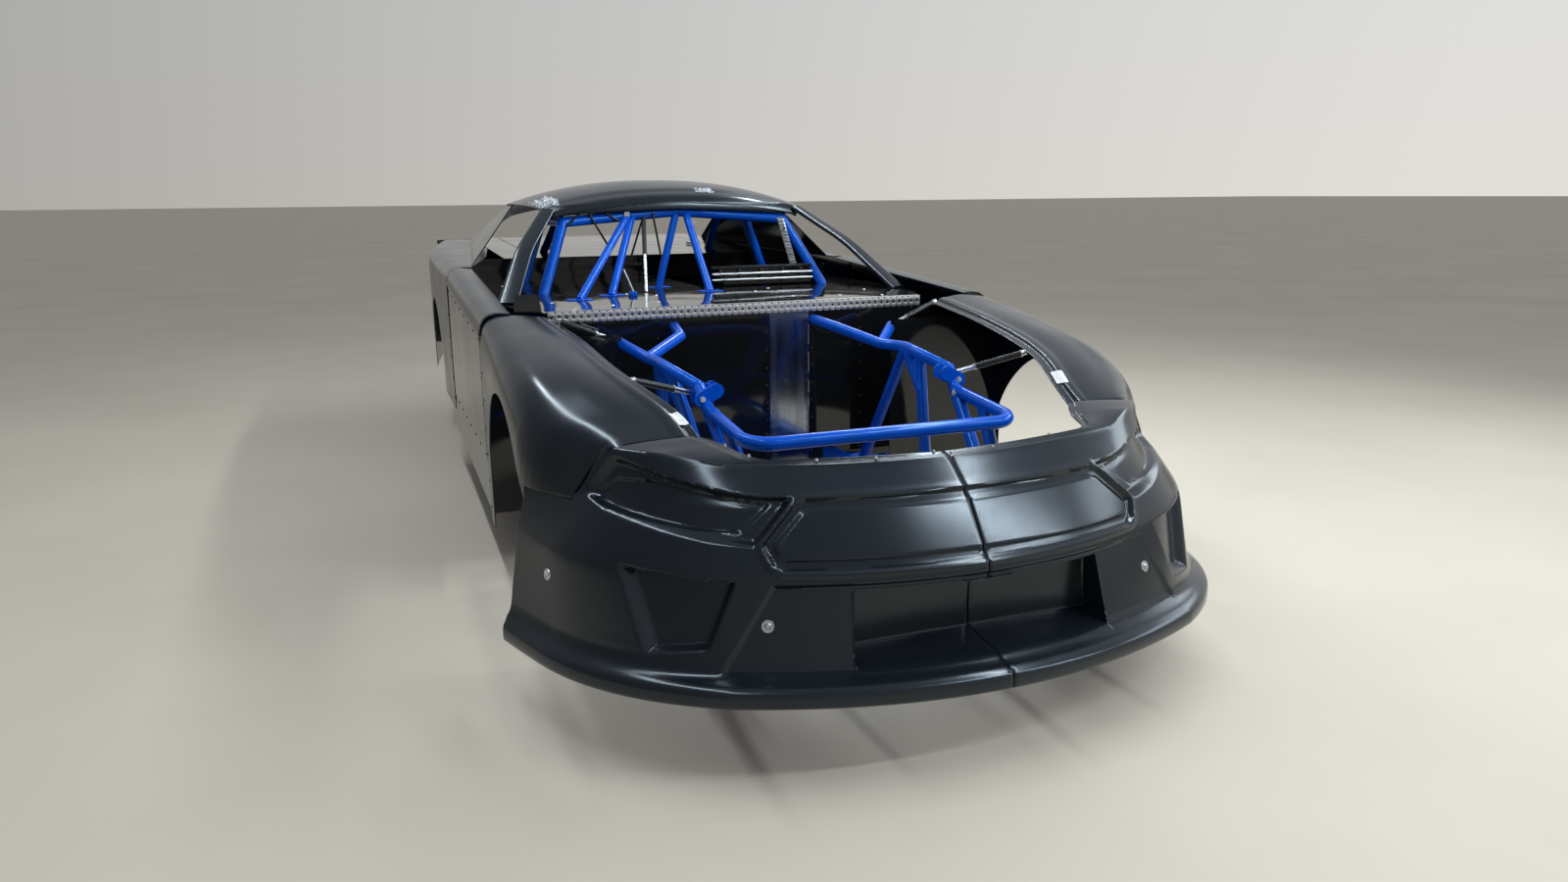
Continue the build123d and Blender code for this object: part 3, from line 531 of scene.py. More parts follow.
for vert in bm.verts:
    vert.co = at_car(*vert.co)
level = joint_low[2] / 1000 + stand_lift
cut_by(bm, faces_where(bm, lambda c: c.z > level - 0.02), at_car(0, 0, joint_low[2]), (0, 0, 1))
low_normal = Vector((0, joint_low[2], joint_low[0] - joint_low[1])).normalized()
cut_by(bm, faces_where(bm, lambda c: c.z < level), at_car(0, joint_low[0], 0), low_normal)
(low_x, low_z), (high_x, high_z) = joint_high
lean_normal = Vector((high_z - low_z, 0, low_x - high_x)).normalized()
cut_by(bm, faces_where(bm, lambda c: c.z > level), at_car(low_x, 0, low_z), lean_normal)
ledge_level = at_car(0, 0, ledge_cut).z
cut_by(bm, faces_where(bm, lambda c: c.z > ledge_level), at_car(0, joint_back, 0), (0, 1, 0))


def past_joint(c):
    """Whether a point lies on the fender's side of the joint."""
    if c.z < level:
        return (c - at_car(0, joint_low[0], 0)).dot(low_normal) > 1e-5
    beyond = (c - at_car(low_x, 0, low_z)).dot(lean_normal) > 1e-5
    return beyond or (c.z > ledge_level and c.y > at_car(0, joint_back, 0).y + 1e-5)


def give_wall(bm, thickness):
    """A skin gets its second face on the inner side, closed round its edges."""
    bmesh.ops.dissolve_degenerate(bm, edges=bm.edges, dist=1e-5)
    bm.normal_update()
    made = bmesh.ops.extrude_face_region(bm, geom=bm.faces[:], use_keep_orig=True)
    bm.normal_update()
    for vert in made["geom"]:
        if isinstance(vert, bmesh.types.BMVert):
            vert.co -= vert.normal * thickness
    bmesh.ops.recalc_face_normals(bm, faces=bm.faces)
    bm.normal_update()
    rims = [e for e in bm.edges if len(e.link_faces) == 2 and e.calc_face_angle(0) > radians(62)
            and min(f.calc_area() for f in e.link_faces) > 1e-7]
    bmesh.ops.bevel(bm, geom=rims, offset=thickness * 0.3, segments=2, profile=0.5, affect="EDGES",
                    material=-1)


def both_skins(bm, name, wall, material, node):
    """The skin of the left side and its mirror image, each given its wall and made a piece."""
    bmesh.ops.delete(bm, geom=[v for v in bm.verts if not v.link_faces], context="VERTS")
    turn_out(bm, lambda f: (f.calc_center_median().x - 0.3) * f.normal.x + 0.3 * f.normal.z)
    other = bm.copy()
    for vert in other.verts:
        vert.co.x = -vert.co.x
    bmesh.ops.reverse_faces(other, faces=other.faces)
    for skin, side in ((bm, "_left"), (other, "_right")):
        give_wall(skin, wall)
        piece = finish_piece(skin, name + side, material)
        if node:
            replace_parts(piece, node + side)


def laid_sheet(columns, rows, place, thickness):
    """A thin sheet from a grid, each point of which is put in place by a rule."""
    bm = bmesh.new()
    bmesh.ops.create_grid(bm, x_segments=columns, y_segments=rows, size=0.5)
    for vert in bm.verts:
        vert.co = place(vert.co.x, vert.co.y)
    if thickness:
        bmesh.ops.solidify(bm, geom=bm.faces[:], thickness=thickness)
        bmesh.ops.recalc_face_normals(bm, faces=bm.faces)
    return bm


flange_width = 34


def flange_point(across, along):
    """A point of the strip behind the seam, from its foot up."""
    y, z = seam_run[round((along + 0.5) * (len(seam_run) - 1))]
    return at_car(across * flange_width, y + abs(across) * 6, z - abs(across) * 4)


flange = laid_sheet(2, len(seam_run) - 1, flange_point, -0.003)
finish_piece(flange, "nose_seam_flange", body_plastic)
drop_faces(bm, past_joint)
both_skins(bm, "nose_skin", 0.004, body_plastic, "nose")

# Fenders: one moulded skin each, from the hood opening over a round crown down to the rocker, with the wheel
# opening cut out. The front edge laps the nose and the rear edge meets the door.


def eased_values(rows, y, reach):
    """The values of a table at a place along the car, eased between its rows over a reach each way."""
    reach = min(reach, y - rows[0][0], rows[-1][0] - y)
    samples = [between(rows, y + step * reach) for step in (-1, -0.5, 0, 0.5, 1)]
    return [sum(values) / len(values) for values in zip(*samples)]


def side_skin(rows, foot, columns, section_rows, reach_along, reach_round, hem_rows=0, hem_band=0):
    """The skin of a body side from a table: y, then x and z of each section point from inner edge to side.
    A hem along the inner edge can have rows of its own: it steps down and has a low bead."""
    hem_step = 24
    bead_start = 28
    bm = bmesh.new()
    bmesh.ops.create_grid(bm, x_segments=columns, y_segments=section_rows, size=0.5)
    sections = []
    for column in range(columns + 1):
        y = rows[0][0] + (rows[-1][0] - rows[0][0]) * column / columns
        values = eased_values(rows, y, reach_along)
        points = [Vector((x, y, z)) for x, z in zip(values[::2], values[1::2])]
        if foot is not None:
            points.append(Vector((points[-1].x, y, foot)))
        sections.append((points, run_lengths(points)))
    for vert in bm.verts:
        points, lengths = sections[round((vert.co.x + 0.5) * columns)]
        row = round((vert.co.y + 0.5) * section_rows)
        if row <= hem_rows:
            distance = hem_band * row / max(1, hem_rows)
        else:
            distance = hem_band + (lengths[-1] - hem_band) * (row - hem_rows) / (section_rows - hem_rows)
        vert.co = Vector(eased_point(points, lengths, distance, reach_round))
        if distance < hem_band:
            bead = sin(pi * min(1.0, max(0.0, (distance - bead_start) / (hem_band - bead_start))))
            vert.co.z += 3 * bead - 6 * (1 - eased((distance - hem_step) / 9))
        vert.co = at_car(*vert.co)
    return bm


def cut_arch(bm, start, end, crown, spring):
    """A wheel opening cut from a side skin: straight legs under an arc, made of many short cuts."""
    half = (end - start) / 2
    rise = crown - spring
    radius = (half * half + rise * rise) / (2 * rise)
    centre = at_car(0, (start + end) / 2, crown - radius)
    radius /= 1000
    sides = [(at_car(0, start, 0), Vector((0, -1, 0))), (at_car(0, end, 0), Vector((0, 1, 0)))]
    spread = 24
    for step in range(spread + 1):
        angle = pi * (0.14 + 0.72 * step / spread)
        out = Vector((0, cos(angle), sin(angle)))
        sides.append((centre + out * radius, out))

    def depth(c):
        """How far a point lies outside the opening."""
        return max((c - point).dot(out) for point, out in sides)

    for point, out in sides:
        near = faces_where(bm, lambda c: abs(depth(c)) < 0.02 and abs((c - point).dot(out)) < 0.02)
        cut_by(bm, near, point, out)
    drop_faces(bm, lambda c: depth(c) < 0)


# Columns: y, then x and z of the hood edge, of the rise, of the crown, of the shoulder, of the side and
# below it
fender_rows = (
    (592, 539, 611, 650, 612, 745, 607, 774, 590, 792, 540, 822, 470),
    (656, 548, 640, 664, 637, 762, 624, 797, 594, 824, 535, 858, 470),
    (720, 562, 664, 690, 660, 820, 634, 860, 598, 880, 540, 902, 470),
    (812, 597, 690, 740, 690, 872, 652, 925, 612, 945, 550, 953, 470),
    (940, 628, 713, 760, 722, 890, 702, 938, 660, 953, 590, 956, 500),
    (1080, 650, 733, 780, 748, 900, 730, 945, 690, 957, 620, 957, 520),
    (1330, 671, 765, 790, 778, 905, 768, 944, 735, 956, 660, 956, 540),
    (1690, 704, 791, 820, 812, 915, 810, 942, 785, 950, 700, 950, 560),
)
fender_foot = 133
fender = side_skin(fender_rows, fender_foot, columns=150, section_rows=96, reach_along=60, reach_round=34,
                   hem_rows=20, hem_band=66)
joint_gap = 2
near_nose = at_car(0, 875, 0).y
fender_tip = at_car(0, joint_low[1] + joint_gap, 0)
drop_low = at_car(0, 0, joint_low[2] + joint_gap)
joint_out = at_car(low_x + joint_gap, 0, low_z)
lean_end = at_car(0, 700, 0).y
lean_top = at_car(0, 690, 600)
cut_by(fender, faces_where(fender, lambda c: c.y < near_nose), drop_low, (0, 0, 1))
cut_by(fender, faces_where(fender, lambda c: c.y < near_nose and c.z < drop_low.z), fender_tip, (0, 1, 0))
cut_by(fender, faces_where(fender, lambda c: c.z > drop_low.z and c.y < lean_end), joint_out, lean_normal)


def on_the_nose(c):
    """Whether a point of the fender lies on the nose's side of the joint."""
    if c.z < drop_low.z and c.y < fender_tip.y - 1e-5:
        return True
    return (c - joint_out).dot(lean_normal) < -1e-5 and c.z < lean_top.z and c.y < lean_top.y


drop_faces(fender, on_the_nose)
cut_arch(fender, start=800, end=1582, crown=640, spring=400)
both_skins(fender, "fender_skin", 0.004, body_plastic, "fender")

# Doors: a flat sheet of prefinished black aluminium under a wide moulded cap that carries the window line.
# The sheet is screwed to the rods of the door bars, and the cap laps its top edge.
sheet_gloss, shader = node_material("sheet_gloss")
shader.inputs["Base Color"].default_value = (0.006, 0.0065, 0.007, 1)
shade(sheet_gloss, flecks(sheet_gloss, 6.0, detail=5), ((0.35, 0.04), (0.7, 0.09)),
      shader.inputs["Roughness"])
relief(sheet_gloss, shader, flecks(sheet_gloss, 2.4, detail=1), 0.25, 0.02)
# Columns: y, then x and z of the inner edge, of the top, of the shoulder and of the side
door_cap_rows = (
    (1694, 846, 816, 905, 820, 940, 798, 951, 748),
    (2320, 848, 850, 912, 856, 944, 834, 955, 786),
    (2950, 850, 886, 918, 892, 948, 870, 959, 820),
)
door_cap = side_skin(door_cap_rows, None, columns=40, section_rows=20, reach_along=100, reach_round=22)
both_skins(door_cap, "door_cap", 0.004, body_plastic, None)
door_foot = 323
door_skin_rows = (
    (1694, 948, 760, 950, 540),
    (2320, 952, 798, 956, 560),
    (2950, 956, 832, 958, 580),
)
door = side_skin(door_skin_rows, door_foot, columns=30, section_rows=16, reach_along=100, reach_round=60)
both_skins(door, "door_skin", 0.003, sheet_gloss, "door")

# Quarters: moulded skins from the door to the tail, with a flat top that the sail panels stand on and the
# rear wheel opening cut out.
quarter_rows = (
    (2954, 850, 890, 918, 892, 948, 872, 959, 822),
    (3425, 740, 904, 918, 903, 954, 880, 968, 832),
    (3850, 690, 914, 915, 912, 954, 890, 967, 842),
    (4262, 645, 923, 905, 922, 946, 900, 962, 850),
    (4860, 645, 936, 838, 936, 872, 916, 884, 868),
)
quarter_foot = 276
quarter = side_skin(quarter_rows, quarter_foot, columns=110, section_rows=70, reach_along=130, reach_round=26)
cut_arch(quarter, start=3425, end=4262, crown=690, spring=400)
both_skins(quarter, "quarter_skin", 0.004, body_plastic, "quarter")

# Roof: a moulded skin crowned both ways with a rolled front edge and a bar under it, on round-edged
# windshield posts, and a flat sail panel each side that runs down to the quarter.
# Columns: y, half width, height of the edge, height of the crown
roof_rows = (
    (2662, 540, 1102, 1150),
    (2668, 545, 1114, 1172),
    (2690, 556, 1126, 1194),
    (2780, 590, 1140, 1219),
    (3000, 634, 1152, 1252),
    (3230, 640, 1154, 1256),
    (3450, 628, 1150, 1246),
    (3700, 595, 1122, 1204),
    (3900, 556, 1090, 1152),
)
roof_front = roof_rows[0][0]
roof_rear = roof_rows[-1][0]
roof_wrap = 0.92 * pi / 2
roof_cells = 90
bm = bmesh.new()
bmesh.ops.create_grid(bm, x_segments=roof_cells, y_segments=roof_cells, size=1)
for vert in bm.verts:
    along = (vert.co.y + 1) / 2
    y = roof_front + (roof_rear - roof_front) * (along * along * 0.45 + along * 0.55)
    half, edge, crown = eased_values(roof_rows, y, 90)
    across = sin(vert.co.x * roof_wrap) / sin(roof_wrap)
    vert.co = at_car(half * across, y, edge + (crown - edge) * (1 - abs(across) ** 2.3))
turn_out(bm, lambda f: f.normal.z)
even_out(bm, [v for v in bm.verts if not v.is_boundary], 12, heights=True)
give_wall(bm, 0.005)
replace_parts(finish_piece(bm, "roof_skin", body_plastic), "roof")


def swept_bar(points, widths, depth, lean, pieces=28, turns=20):
    """A bar of oval section along a run of points, its width turned by the lean."""
    bm = bmesh.new()
    bmesh.ops.create_grid(bm, x_segments=turns, y_segments=pieces, size=0.5)
    lengths = run_lengths(points)
    lean = Vector(lean)
    for vert in bm.verts:
        around = 2 * pi * (vert.co.x + 0.5)
        share = vert.co.y + 0.5
        distance = lengths[-1] * share
        middle = eased_point(points, lengths, distance, 60)
        ahead = run_point(points, lengths, distance + 5) - run_point(points, lengths, distance - 5)
        ahead.normalize()
        side = (lean - ahead * lean.dot(ahead)).normalized()
        out = ahead.cross(side)
        width = widths[0] + (widths[1] - widths[0]) * share
        edge_x = abs(cos(around)) ** 0.5 * (1 if cos(around) > 0 else -1)
        edge_y = abs(sin(around)) ** 0.8 * (1 if sin(around) > 0 else -1)
        vert.co = at_car(*(middle + side * width * edge_x + out * depth * edge_y))
    bmesh.ops.remove_doubles(bm, verts=bm.verts, dist=1e-6)
    bmesh.ops.holes_fill(bm, edges=[e for e in bm.edges if e.is_boundary], sides=0)
    bmesh.ops.recalc_face_normals(bm, faces=bm.faces)
    return bm


header_run = [Vector(point) for point in (
    (-556, 2694, 1108), (-520, 2680, 1126), (-300, 2672, 1138), (0, 2668, 1148), (300, 2672, 1138),
    (520, 2680, 1126), (556, 2694, 1108))]
header = swept_bar(header_run, (22, 22), 7, (0, 0.25, 1), pieces=60)
finish_piece(header, "windshield_header", body_plastic)
for side, name in ((1, "left"), (-1, "right")):
    post_run = [Vector((side * x, y, z)) for x, y, z in ((800, 2160, 800), (690, 2430, 985),
                                                         (552, 2690, 1128))]
    post = swept_bar(post_run, (38, 30), 9, (1, 0.35 * side, 0))
    finish_piece(post, "windshield_post_" + name, body_plastic)
    bm = bmesh.new()
    corners = [(850, 3010, 887), (706, 4700, 926), (553, 3895, 1090), (619, 3400, 1154), (630, 3180, 1152)]
    outline = [bm.verts.new(at_car(side * x, y, z)) for x, y, z in corners]
    bm.faces.new((outline[0], outline[1], outline[3], outline[4]))
    bm.faces.new((outline[1], outline[2], outline[3]))
    bmesh.ops.subdivide_edges(bm, edges=bm.edges, cuts=6, use_grid_fill=True)
    turn_out(bm, lambda f: f.normal.x * side)
    give_wall(bm, 0.005)
    finish_piece(bm, "sail_panel_" + name, body_plastic, sharp=20)

# Tube frame, cage and the rods on it: round and square steel tube, welded and powder coated gloss blue. The
# tubes keep the lines of the solids and get smooth round walls.
frame_blue, shader = node_material("frame_blue")
shade(frame_blue, flecks(frame_blue, 14.0, detail=4),
      ((0.3, (0.001, 0.070, 0.50)), (0.7, (0.002, 0.092, 0.62))), shader.inputs["Base Color"])
shader.inputs["Roughness"].default_value = 0.16
shader.inputs["Specular Tint"].default_value = (0.35, 0.72, 1.0, 1)
relief(frame_blue, shader, flecks(frame_blue, 260.0, detail=2), 0.12, 0.0006)


def dressed(node, material):
    """The solid of a node with its corners merged and its round walls smooth, standing for that node."""
    bm = bmesh.new()
    bm.from_mesh(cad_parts[node].data)
    bmesh.ops.remove_doubles(bm, verts=bm.verts, dist=1e-5)
    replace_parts(finish_piece(bm, node + "_finished", material, sharp=30), node)


for node in ("frame_rails", "crossmembers", "main_hoop", "halo_and_posts", "windshield_bars",
             "door_bars_left", "door_bars_right", "rear_stays", "upper_rails_left", "upper_rails_right",
             "front_hoop", "arm_brackets", "bumper_bar", "cowl_hoop", "tail_bar"):
    dressed(node, frame_blue)

# Sheet metal of the cockpit: black prefinished aluminium, folded and riveted, with one bare panel in the
# firewall and a bare perforated angle along the front edge of the deck.


def streaked_metal(name, tone_cloud, tones, sheen_cloud, sheens):
    """Bare rolled metal with streaks in its tone and sheen. Clouds: scale, stretch and detail."""
    material, shader = node_material(name)
    shader.inputs["Metallic"].default_value = 1
    for socket, cloud, (low, high) in (("Base Color", tone_cloud, tones), ("Roughness", sheen_cloud, sheens)):
        shade(material, flecks(material, *cloud), ((0.3, low), (0.7, high)), shader.inputs[socket])
    return material


bare_metal = streaked_metal("bare_metal", (30.0, (1, 1, 0.04), 5), (0.66, 0.76),
                            (60.0, (1, 1, 0.03), 4), (0.20, 0.34))
rolled_sheet = streaked_metal("rolled_sheet",
                              (24.0, (1, 1, 0.04), 5), ((0.20, 0.22, 0.25), (0.30, 0.33, 0.37)),
                              (50.0, (1, 1, 0.03), 4), (0.10, 0.20))
angle_metal = streaked_metal("angle_metal", (40.0, (0.05, 1, 1), 4), (0.62, 0.72),
                             (50.0, (0.05, 1, 1), 4), (0.28, 0.40))


def repaint(node, material):
    """A node keeps its solid and gets a finished material."""
    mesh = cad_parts[node].data
    for i in range(len(mesh.materials)):
        mesh.materials[i] = material


for node in ("interior_deck", "firewall_left", "firewall_right", "floor_pan", "rear_bulkhead",
             "dash_panel", "splash_panel_left", "splash_panel_right", "rocker_panel_left",
             "rocker_panel_right", "rear_tray", "deck_lid"):
    repaint(node, sheet_gloss)
repaint("firewall_centre_panel", rolled_sheet)
repaint("lid_hinges", bare_metal)


def add_cell(bm, middle, width, height, radius):
    """A flat piece of sheet with a round hole in its middle, standing across the car."""
    turn = Matrix.Translation(middle) @ Matrix.Rotation(pi / 2, 4, "X")
    hole = bmesh.ops.create_circle(bm, segments=16, radius=radius, matrix=turn)["verts"]
    rim = bmesh.ops.create_circle(bm, segments=16, radius=radius * 2, matrix=turn)["verts"]
    for vert in rim:
        out = (vert.co - middle) / (radius * 2)
        reach = min(width / 2 / max(1e-6, abs(out.x)), height / 2 / max(1e-6, abs(out.z)))
        vert.co = middle + out * reach
    edges = {e for v in hole + rim for e in v.link_edges}
    bmesh.ops.bridge_loops(bm, edges=list(edges))


def add_box(bm, low, high):
    """A box from its lowest to its highest corner, given in millimetres at the car."""
    low, high = at_car(*low), at_car(*high)
    size = Matrix.Diagonal((*(high - low), 1))
    bmesh.ops.create_cube(bm, size=1, matrix=Matrix.Translation((low + high) / 2) @ size)


angle_half = 712
angle_face = 1796.4
angle_cells = 56
cell_width = 25.43
bm = bmesh.new()
for step in range(angle_cells):
    middle = at_car(-angle_half + cell_width * (step + 0.5), angle_face, 782)
    add_cell(bm, middle, cell_width / 1000, 0.038, 0.0044)
bmesh.ops.remove_doubles(bm, verts=bm.verts, dist=1e-5)
turn_out(bm, lambda f: -f.normal.y)
give_wall(bm, 0.0024)
add_box(bm, (-angle_half, angle_face, 800.4), (angle_half, 1820, 803))
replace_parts(finish_piece(bm, "deck_angle_perforated", angle_metal), "deck_edge_angle")
dressed("rear_bumper_cover", body_plastic)
for node in ("fender_braces_left", "fender_braces_right"):
    dressed(node, bare_metal)

# Fasteners of the body: plated bolts with wide washers through the nose, small screws along the hood
# opening, and dome rivets in the doors, fenders and quarters.


def coated(name, tone, roughness_low, roughness_high, metallic=0.0):
    """A plain finish whose tone and sheen vary a little."""
    material, shader = node_material(name)
    cloud = flecks(material, 40.0, detail=4)
    duller = tuple(t * 0.8 for t in tone)
    shade(material, cloud, ((0.35, duller), (0.65, tone)), shader.inputs["Base Color"])
    shade(material, cloud, ((0.3, roughness_low), (0.7, roughness_high)), shader.inputs["Roughness"])
    shader.inputs["Metallic"].default_value = metallic
    return material


def on_skin(name, x, y, z):
    """The nearest place on a finished piece and the way it faces there."""
    return skins[name].find_nearest(at_car(x, y, z))[:2]


def soften_edges(bm):
    """All edges of boxes get a small round."""
    bmesh.ops.bevel(bm, geom=bm.edges[:], offset=0.001, segments=2, profile=0.5, affect="EDGES", material=-1)


def add_head(bm, place, normal, radius, height, top=None, sides=12):
    """A round head or washer standing on a place."""
    turn = normal.to_track_quat("Z", "Y").to_matrix().to_4x4()
    bmesh.ops.create_cone(bm, cap_ends=True, segments=sides, radius1=radius / 1000,
                          radius2=(radius if top is None else top) / 1000, depth=height / 1000,
                          matrix=Matrix.Translation(place + normal * (height / 2000 - 0.0002)) @ turn)


def add_rod(bm, start, end, radius, sides=12):
    """A round rod between two points in millimetres at the car."""
    start, end = at_car(*start), at_car(*end)
    turn = (end - start).to_track_quat("Z", "Y").to_matrix().to_4x4()
    bmesh.ops.create_cone(bm, cap_ends=True, segments=sides, radius1=radius / 1000, radius2=radius / 1000,
                          depth=(end - start).length, matrix=Matrix.Translation((start + end) / 2) @ turn)


forward = Vector((0, -1, 0))
upward = Vector((0, 0, 1))
zinc_plate = coated("zinc_plate", (0.62, 0.64, 0.66), 0.22, 0.42, 1.0)
bm = bmesh.new()
for side, name in ((1, "nose_skin_left"), (-1, "nose_skin_right")):
    for x, y, z in ((515, 190, 263), (925, 618, 297)):
        place, normal = on_skin(name, side * x, y, z)
        add_head(bm, place, normal, 15, 2, 14, 24)
        add_head(bm, place + normal * 0.002, normal, 8, 5, 4.5, 16)
finish_piece(bm, "nose_bolts", zinc_plate)
bm = bmesh.new()
for x, y in ((-448, 436), (-325, 355), (-184, 323), (-26, 327), (12, 316), (131, 319), (320, 406),
             (-492, 520), (470, 500)):
    place, normal = on_skin("nose_skin_left" if x > 0 else "nose_skin_right", x, y + 8, 600)
    add_head(bm, place, upward, 4.5, 5, 3, 8)
finish_piece(bm, "opening_screws", zinc_plate)
bm = bmesh.new()
for side, name in ((1, "left"), (-1, "right")):
    spots = [("door_skin_" + name, 980, y, 730 + (y - 1694) * 0.056) for y in range(1740, 2920, 165)]
    spots += [("door_skin_" + name, 980, y, 345) for y in range(1740, 2920, 165)]
    spots += [("door_skin_" + name, 980, y, z) for y in (1712, 2934) for z in range(430, 700, 90)]
    spots += [("fender_skin_" + name, 985, 1672, z) for z in range(180, 720, 90)]
    spots += [("quarter_skin_" + name, 985, 2976, z) for z in range(320, 780, 92)]
    spots += [("quarter_skin_" + name, 900, y, 700) for y in (4500, 4680, 4835)]
    for skin, x, y, z in spots:
        place, normal = on_skin(skin, side * x, y, z)
        add_head(bm, place, normal, 6, 2.2, 3, 8)
finish_piece(bm, "body_rivets", coated("black_rivet", (0.02, 0.022, 0.024), 0.2, 0.35))

# Blank strips of white masking tape, one on the edge of each fender, left from fitting the hood. The paper
# is stuck on by hand and follows the skin.
white_tape = coated("white_tape", (0.74, 0.74, 0.72), 0.45, 0.6)
tape_width = 34
for name, skin, middle, ahead, length in (
    ("tape_right", "fender_skin_right", (-566, 672, 650), (-0.45, 0.9, 0.1), 62),
    ("tape_left", "fender_skin_left", (596, 716, 668), (0.3, 0.95, 0.3), 74),
):
    along = Vector(ahead).normalized()
    sideways = along.cross(upward).normalized()

    def tape_point(u, v):
        """A point of the strip, just clear of the fender."""
        place, normal = on_skin(skin, *(Vector(middle) + along * u * length + sideways * v * tape_width))
        return place + normal * (0.0008 if normal.z > 0 else -0.0008)

    finish_piece(laid_sheet(8, 4, tape_point, 0.0003), name, white_tape)

# Fasteners of the sheet metal: rows of rivets down the edges of the firewall panels, screws in the deck and
# the lapped edge of its rear sheet. The small dark discs down both edges of the bare centre panel and the
# large
# disc on it are painted shade: they stand for the panel's open holes.
wall_face = 1799
bm = bmesh.new()
# Painted shade: small dark discs where the bare centre panel has open rivet holes
for x in (101, 238):
    for z in range(214, 770, 36):
        add_head(bm, at_car(x, wall_face, z), forward, 3.4, 1.2, 2.2, 8)
for x in (-676, -330, 80, 259, 460, 676):
    for z in range(230, 760, 66):
        add_head(bm, at_car(x, wall_face, z), forward, 4, 1.6, 2.4, 8)
# Painted shade: a large dark disc where the centre panel has an open hole
add_head(bm, at_car(155, wall_face, 503), forward, 13, 1.2, 12, 20)
# One dark finish serves the rivets and the painted shade of the holes
finish_piece(bm, "firewall_rivets_and_hole_shade", coated("wall_rivet_and_hole_shade", (0.03, 0.033, 0.037), 0.25, 0.4))
bm = bmesh.new()
for x, y in ((209, 2276), (268, 2011), (304, 2383), (450, 1967), (-209, 2276), (-268, 2011), (-304, 2383),
             (-450, 1967), (640, 2150), (-640, 2150), (600, 1900), (-600, 1900), (-720, 2700), (-720, 3000),
             (-300, 3240), (0, 3240)):
    add_head(bm, at_car(x, y, 800), upward, 7, 2.4, 5, 12)
for x in range(-620, 700, 248):
    add_head(bm, at_car(x, 1811, 803), upward, 5, 1.6, 3, 10)
finish_piece(bm, "deck_screws", zinc_plate)
bm = bmesh.new()
add_box(bm, (-838, 2700, 799.6), (56, 2726, 801.2))
finish_piece(bm, "deck_lap", sheet_gloss)

# Sleeves and jam nuts on the four fender braces. They are turned from steel bar and threaded, so that the
# length of each brace can be set. The sleeves are black and the nuts are plated.
black_sleeve = coated("black_sleeve", (0.010, 0.011, 0.012), 0.2, 0.35)
sleeves = bmesh.new()
nuts = bmesh.new()
for side in (1, -1):
    for start, end in (((512, 1646, 713), (706, 1662, 792)), ((418, 1047, 631), (632, 946, 701))):
        start = Vector((side * start[0], *start[1:]))
        end = Vector((side * end[0], *end[1:]))
        add_rod(sleeves, start.lerp(end, 0.34), start.lerp(end, 0.93), 9.5, 16)
        add_rod(nuts, start.lerp(end, 0.325), start.lerp(end, 0.345), 11, 6)
        add_rod(nuts, start.lerp(end, 0.925), start.lerp(end, 0.945), 11, 6)
finish_piece(sleeves, "brace_sleeves", black_sleeve)
finish_piece(nuts, "brace_nuts", zinc_plate)

# Bolts at the ends of the front hoop, with large plain washers, and the bolts of the ears' low ends. They
# are plated steel, and the hoop comes off once they are out.
bm = bmesh.new()
for side in (1, -1):
    head = at_car(side * 387, 953, 588)
    add_head(bm, head, forward, 14, 3, 14, 24)
    add_head(bm, head + forward * 0.003, forward, 10, 9, 9, 6)
    add_rod(bm, (side * 387, 953, 588), (side * 391, 985, 591), 7)
    add_head(bm, at_car(side * 414, 982.5, 624), forward, 9, 6, 8.4, 6)
finish_piece(bm, "hoop_bolts", coated("bright_plate", (0.80, 0.81, 0.80), 0.25, 0.4, 0.6))

# Thin black rods at the windshield: sprung steel wire stays, hooked on the halo at their top ends and left
# hanging for the windshield that they will brace.
rod_y = 2676
bm = bmesh.new()
for start, end in (((-350, 1137), (-249, 1075)), ((-388, 1120), (-303, 970)), ((-403, 1134), (-480, 1063)),
                   ((-158, 1082), (-223, 898)), ((-111, 1114), (-82, 939))):
    add_rod(bm, (start[0], rod_y, start[1]), (end[0], rod_y, end[1]), 4.5)
finish_piece(bm, "windshield_rods", black_sleeve)

# The strap from the halo to the deck: black webbing above and a plated steel end below, with plated clips on
# the halo and a short plated rod beside it.
bm = bmesh.new()
add_rod(bm, (-148, 2690, 1100), (-180, 2560, 945), 9, 8)
finish_piece(bm, "strap_webbing", coated("webbing", (0.014, 0.014, 0.016), 0.6, 0.8))
bm = bmesh.new()
add_rod(bm, (-180, 2560, 945), (-210, 2434, 800), 7, 8)
add_box(bm, (-234, 2672, 1066), (-212, 2684, 1123))
add_box(bm, (54, 2670, 1050), (78, 2684, 1076))
add_rod(bm, (-297, 2300, 818), (-332, 2300, 904), 5)
finish_piece(bm, "strap_ends", zinc_plate)

# Feet of the windshield bars: square steel plates welded to the tubes and coated blue with them, and a small
# block of the same by the strap. They stand on the deck.
foot_x = 48
foot_y = 36
bm = bmesh.new()
for x, y in ((-373, 2348), (-523, 2223), (-105, 2641), (41, 2359)):
    add_box(bm, (x - foot_x, y - foot_y, 799.8), (x + foot_x, y + foot_y, 803))
add_box(bm, (-313, 2288, 799.8), (-281, 2312, 816))
soften_edges(bm)
finish_piece(bm, "bar_feet", frame_blue)

# What the dash will be fixed to: a black folded ledge with five brackets, two plated rails in front of it,
# and a ribbed strip of plated sheet that hangs by the left post.
dash_x = (107, 571)
rail_y = 2540
bm = bmesh.new()
add_box(bm, (dash_x[0], 2544, 874), (dash_x[1], 2556, 886))
for x in (150, 235, 335, 435, 520):
    add_box(bm, (x - 7, 2548, 815), (x + 7, 2559, 876))
soften_edges(bm)
finish_piece(bm, "dash_brackets", black_sleeve)
bm = bmesh.new()
for z in (853, 828):
    add_rod(bm, (dash_x[0], rail_y, z), (dash_x[1], rail_y, z), 5)
finish_piece(bm, "dash_rails", zinc_plate)
ribs = 14


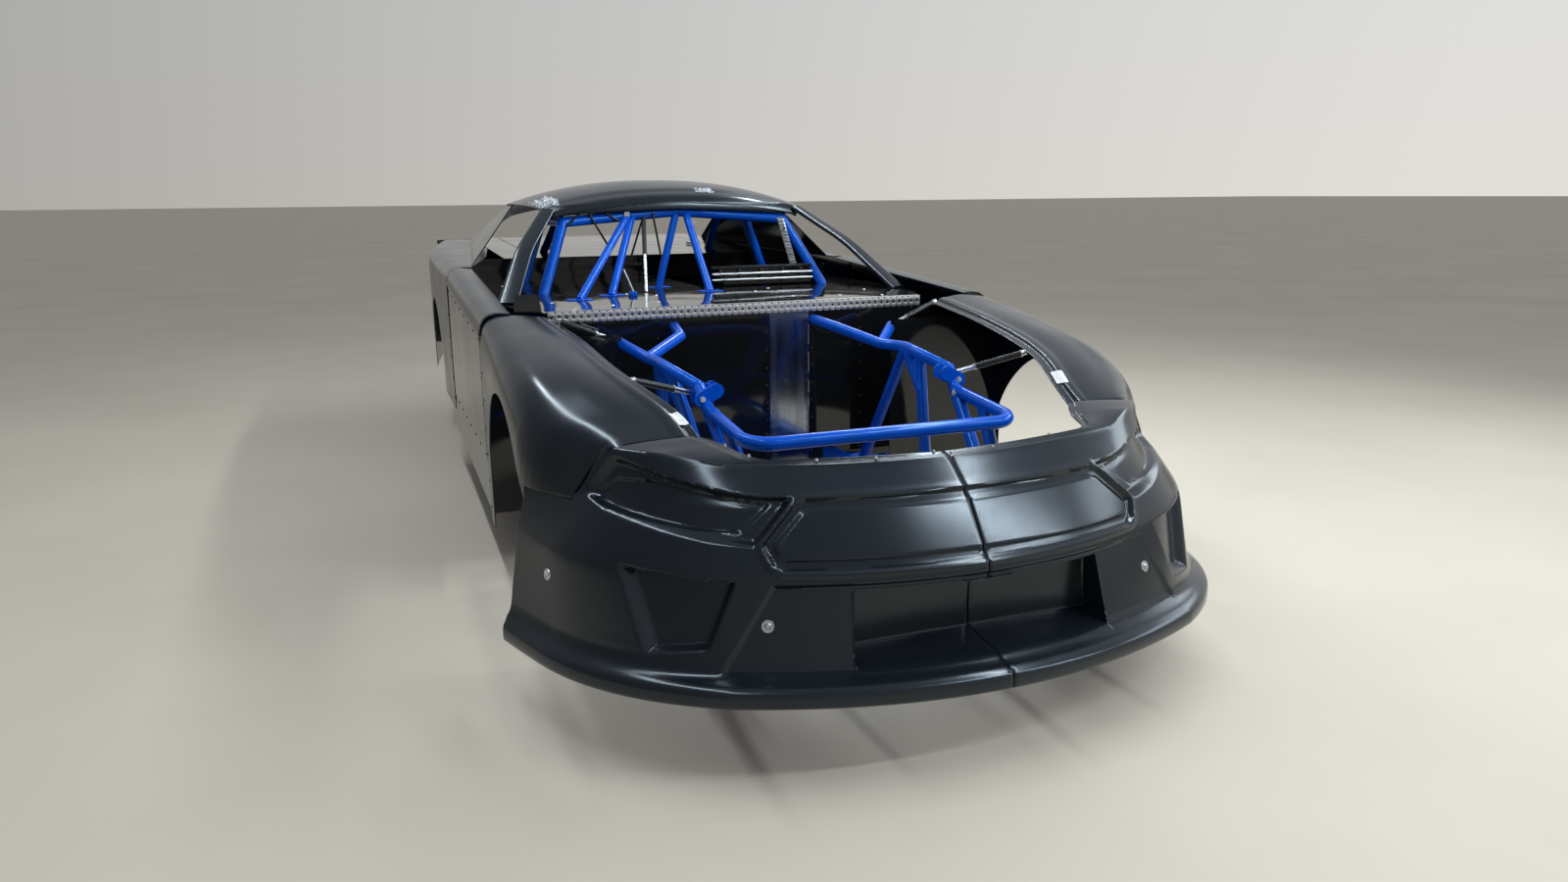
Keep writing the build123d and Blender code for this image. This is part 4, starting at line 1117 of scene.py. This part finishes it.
def rib_point(across, along):
    """A point of the ribbed strip, from its top end down."""
    down = along + 0.5
    return at_car(448 + 60 * down + across * 30, 2612 + 5 * sin(down * 2 * pi * ribs), 1086 - 200 * down)


finish_piece(laid_sheet(4, 84, rib_point, 0.0015), "ribbed_strip", zinc_plate)

# Crumpled clear film, left on the roof from its delivery: a thin plastic sheet that clings to the right
# front corner and to the front edge by the middle, and stands up in folds between the places where it sticks.
clear_film, shader = node_material("clear_film")
shader.inputs["Base Color"].default_value = (0.86, 0.90, 0.93, 1)
shade(clear_film, flecks(clear_film, 30.0), ((0.3, 0.06), (0.7, 0.2)), shader.inputs["Roughness"])
shade(clear_film, flecks(clear_film, 55.0, detail=5), ((0.44, 0.10), (0.60, 0.62)), shader.inputs["Alpha"])
fold_reach = 14
noise.seed_set(7)
for name, middle, size, seed in (("roof_film_right", (-560, 2800, 1166), (130, 150, 34), 3),
                                 ("roof_film_middle", (140, 2745, 1216), (80, 60, 12), 8)):

    def film_point(u, v):
        """A point of the film, over the roof by the height of its fold."""
        fold = noise.turbulence_vector(Vector((u * 5 + seed, v * 5, seed)), 4, False)
        x = middle[0] + u * size[0] + fold.x * fold_reach
        y = middle[1] + v * size[1] + fold.y * fold_reach
        place, normal = on_skin("roof_skin", x, y, middle[2])
        inside = 1 - (2 * max(abs(u), abs(v))) ** 4
        return place + upward * (0.003 + abs(fold.z) * size[2] / 1000 * (0.35 + 0.65 * inside))

    finish_piece(laid_sheet(26, 26, film_point, 0), name, clear_film, sharp=24)

# A small flap of black aluminium sheet at the right front corner of the deck. It is bent up out of the deck
# and will close the gap to the fender.


def flap_point(u, v):
    """A point of the flap, from the bend up to its narrower free edge."""
    up = v + 0.5
    return at_car(-770 + u * (86 - 20 * v), 1846 + 14 * up ** 2, 800 + 60 * up)


finish_piece(laid_sheet(6, 6, flap_point, 0.002), "corner_flap", sheet_gloss)

# Stands: four low pyramids of welded sheet steel under the frame rails, which rest on them. They are
# painted dark grey and worn by use.
repaint("stands", moulded("stand_paint", (0.045, 0.047, 0.05), 0.45, 0.65, 6.0))
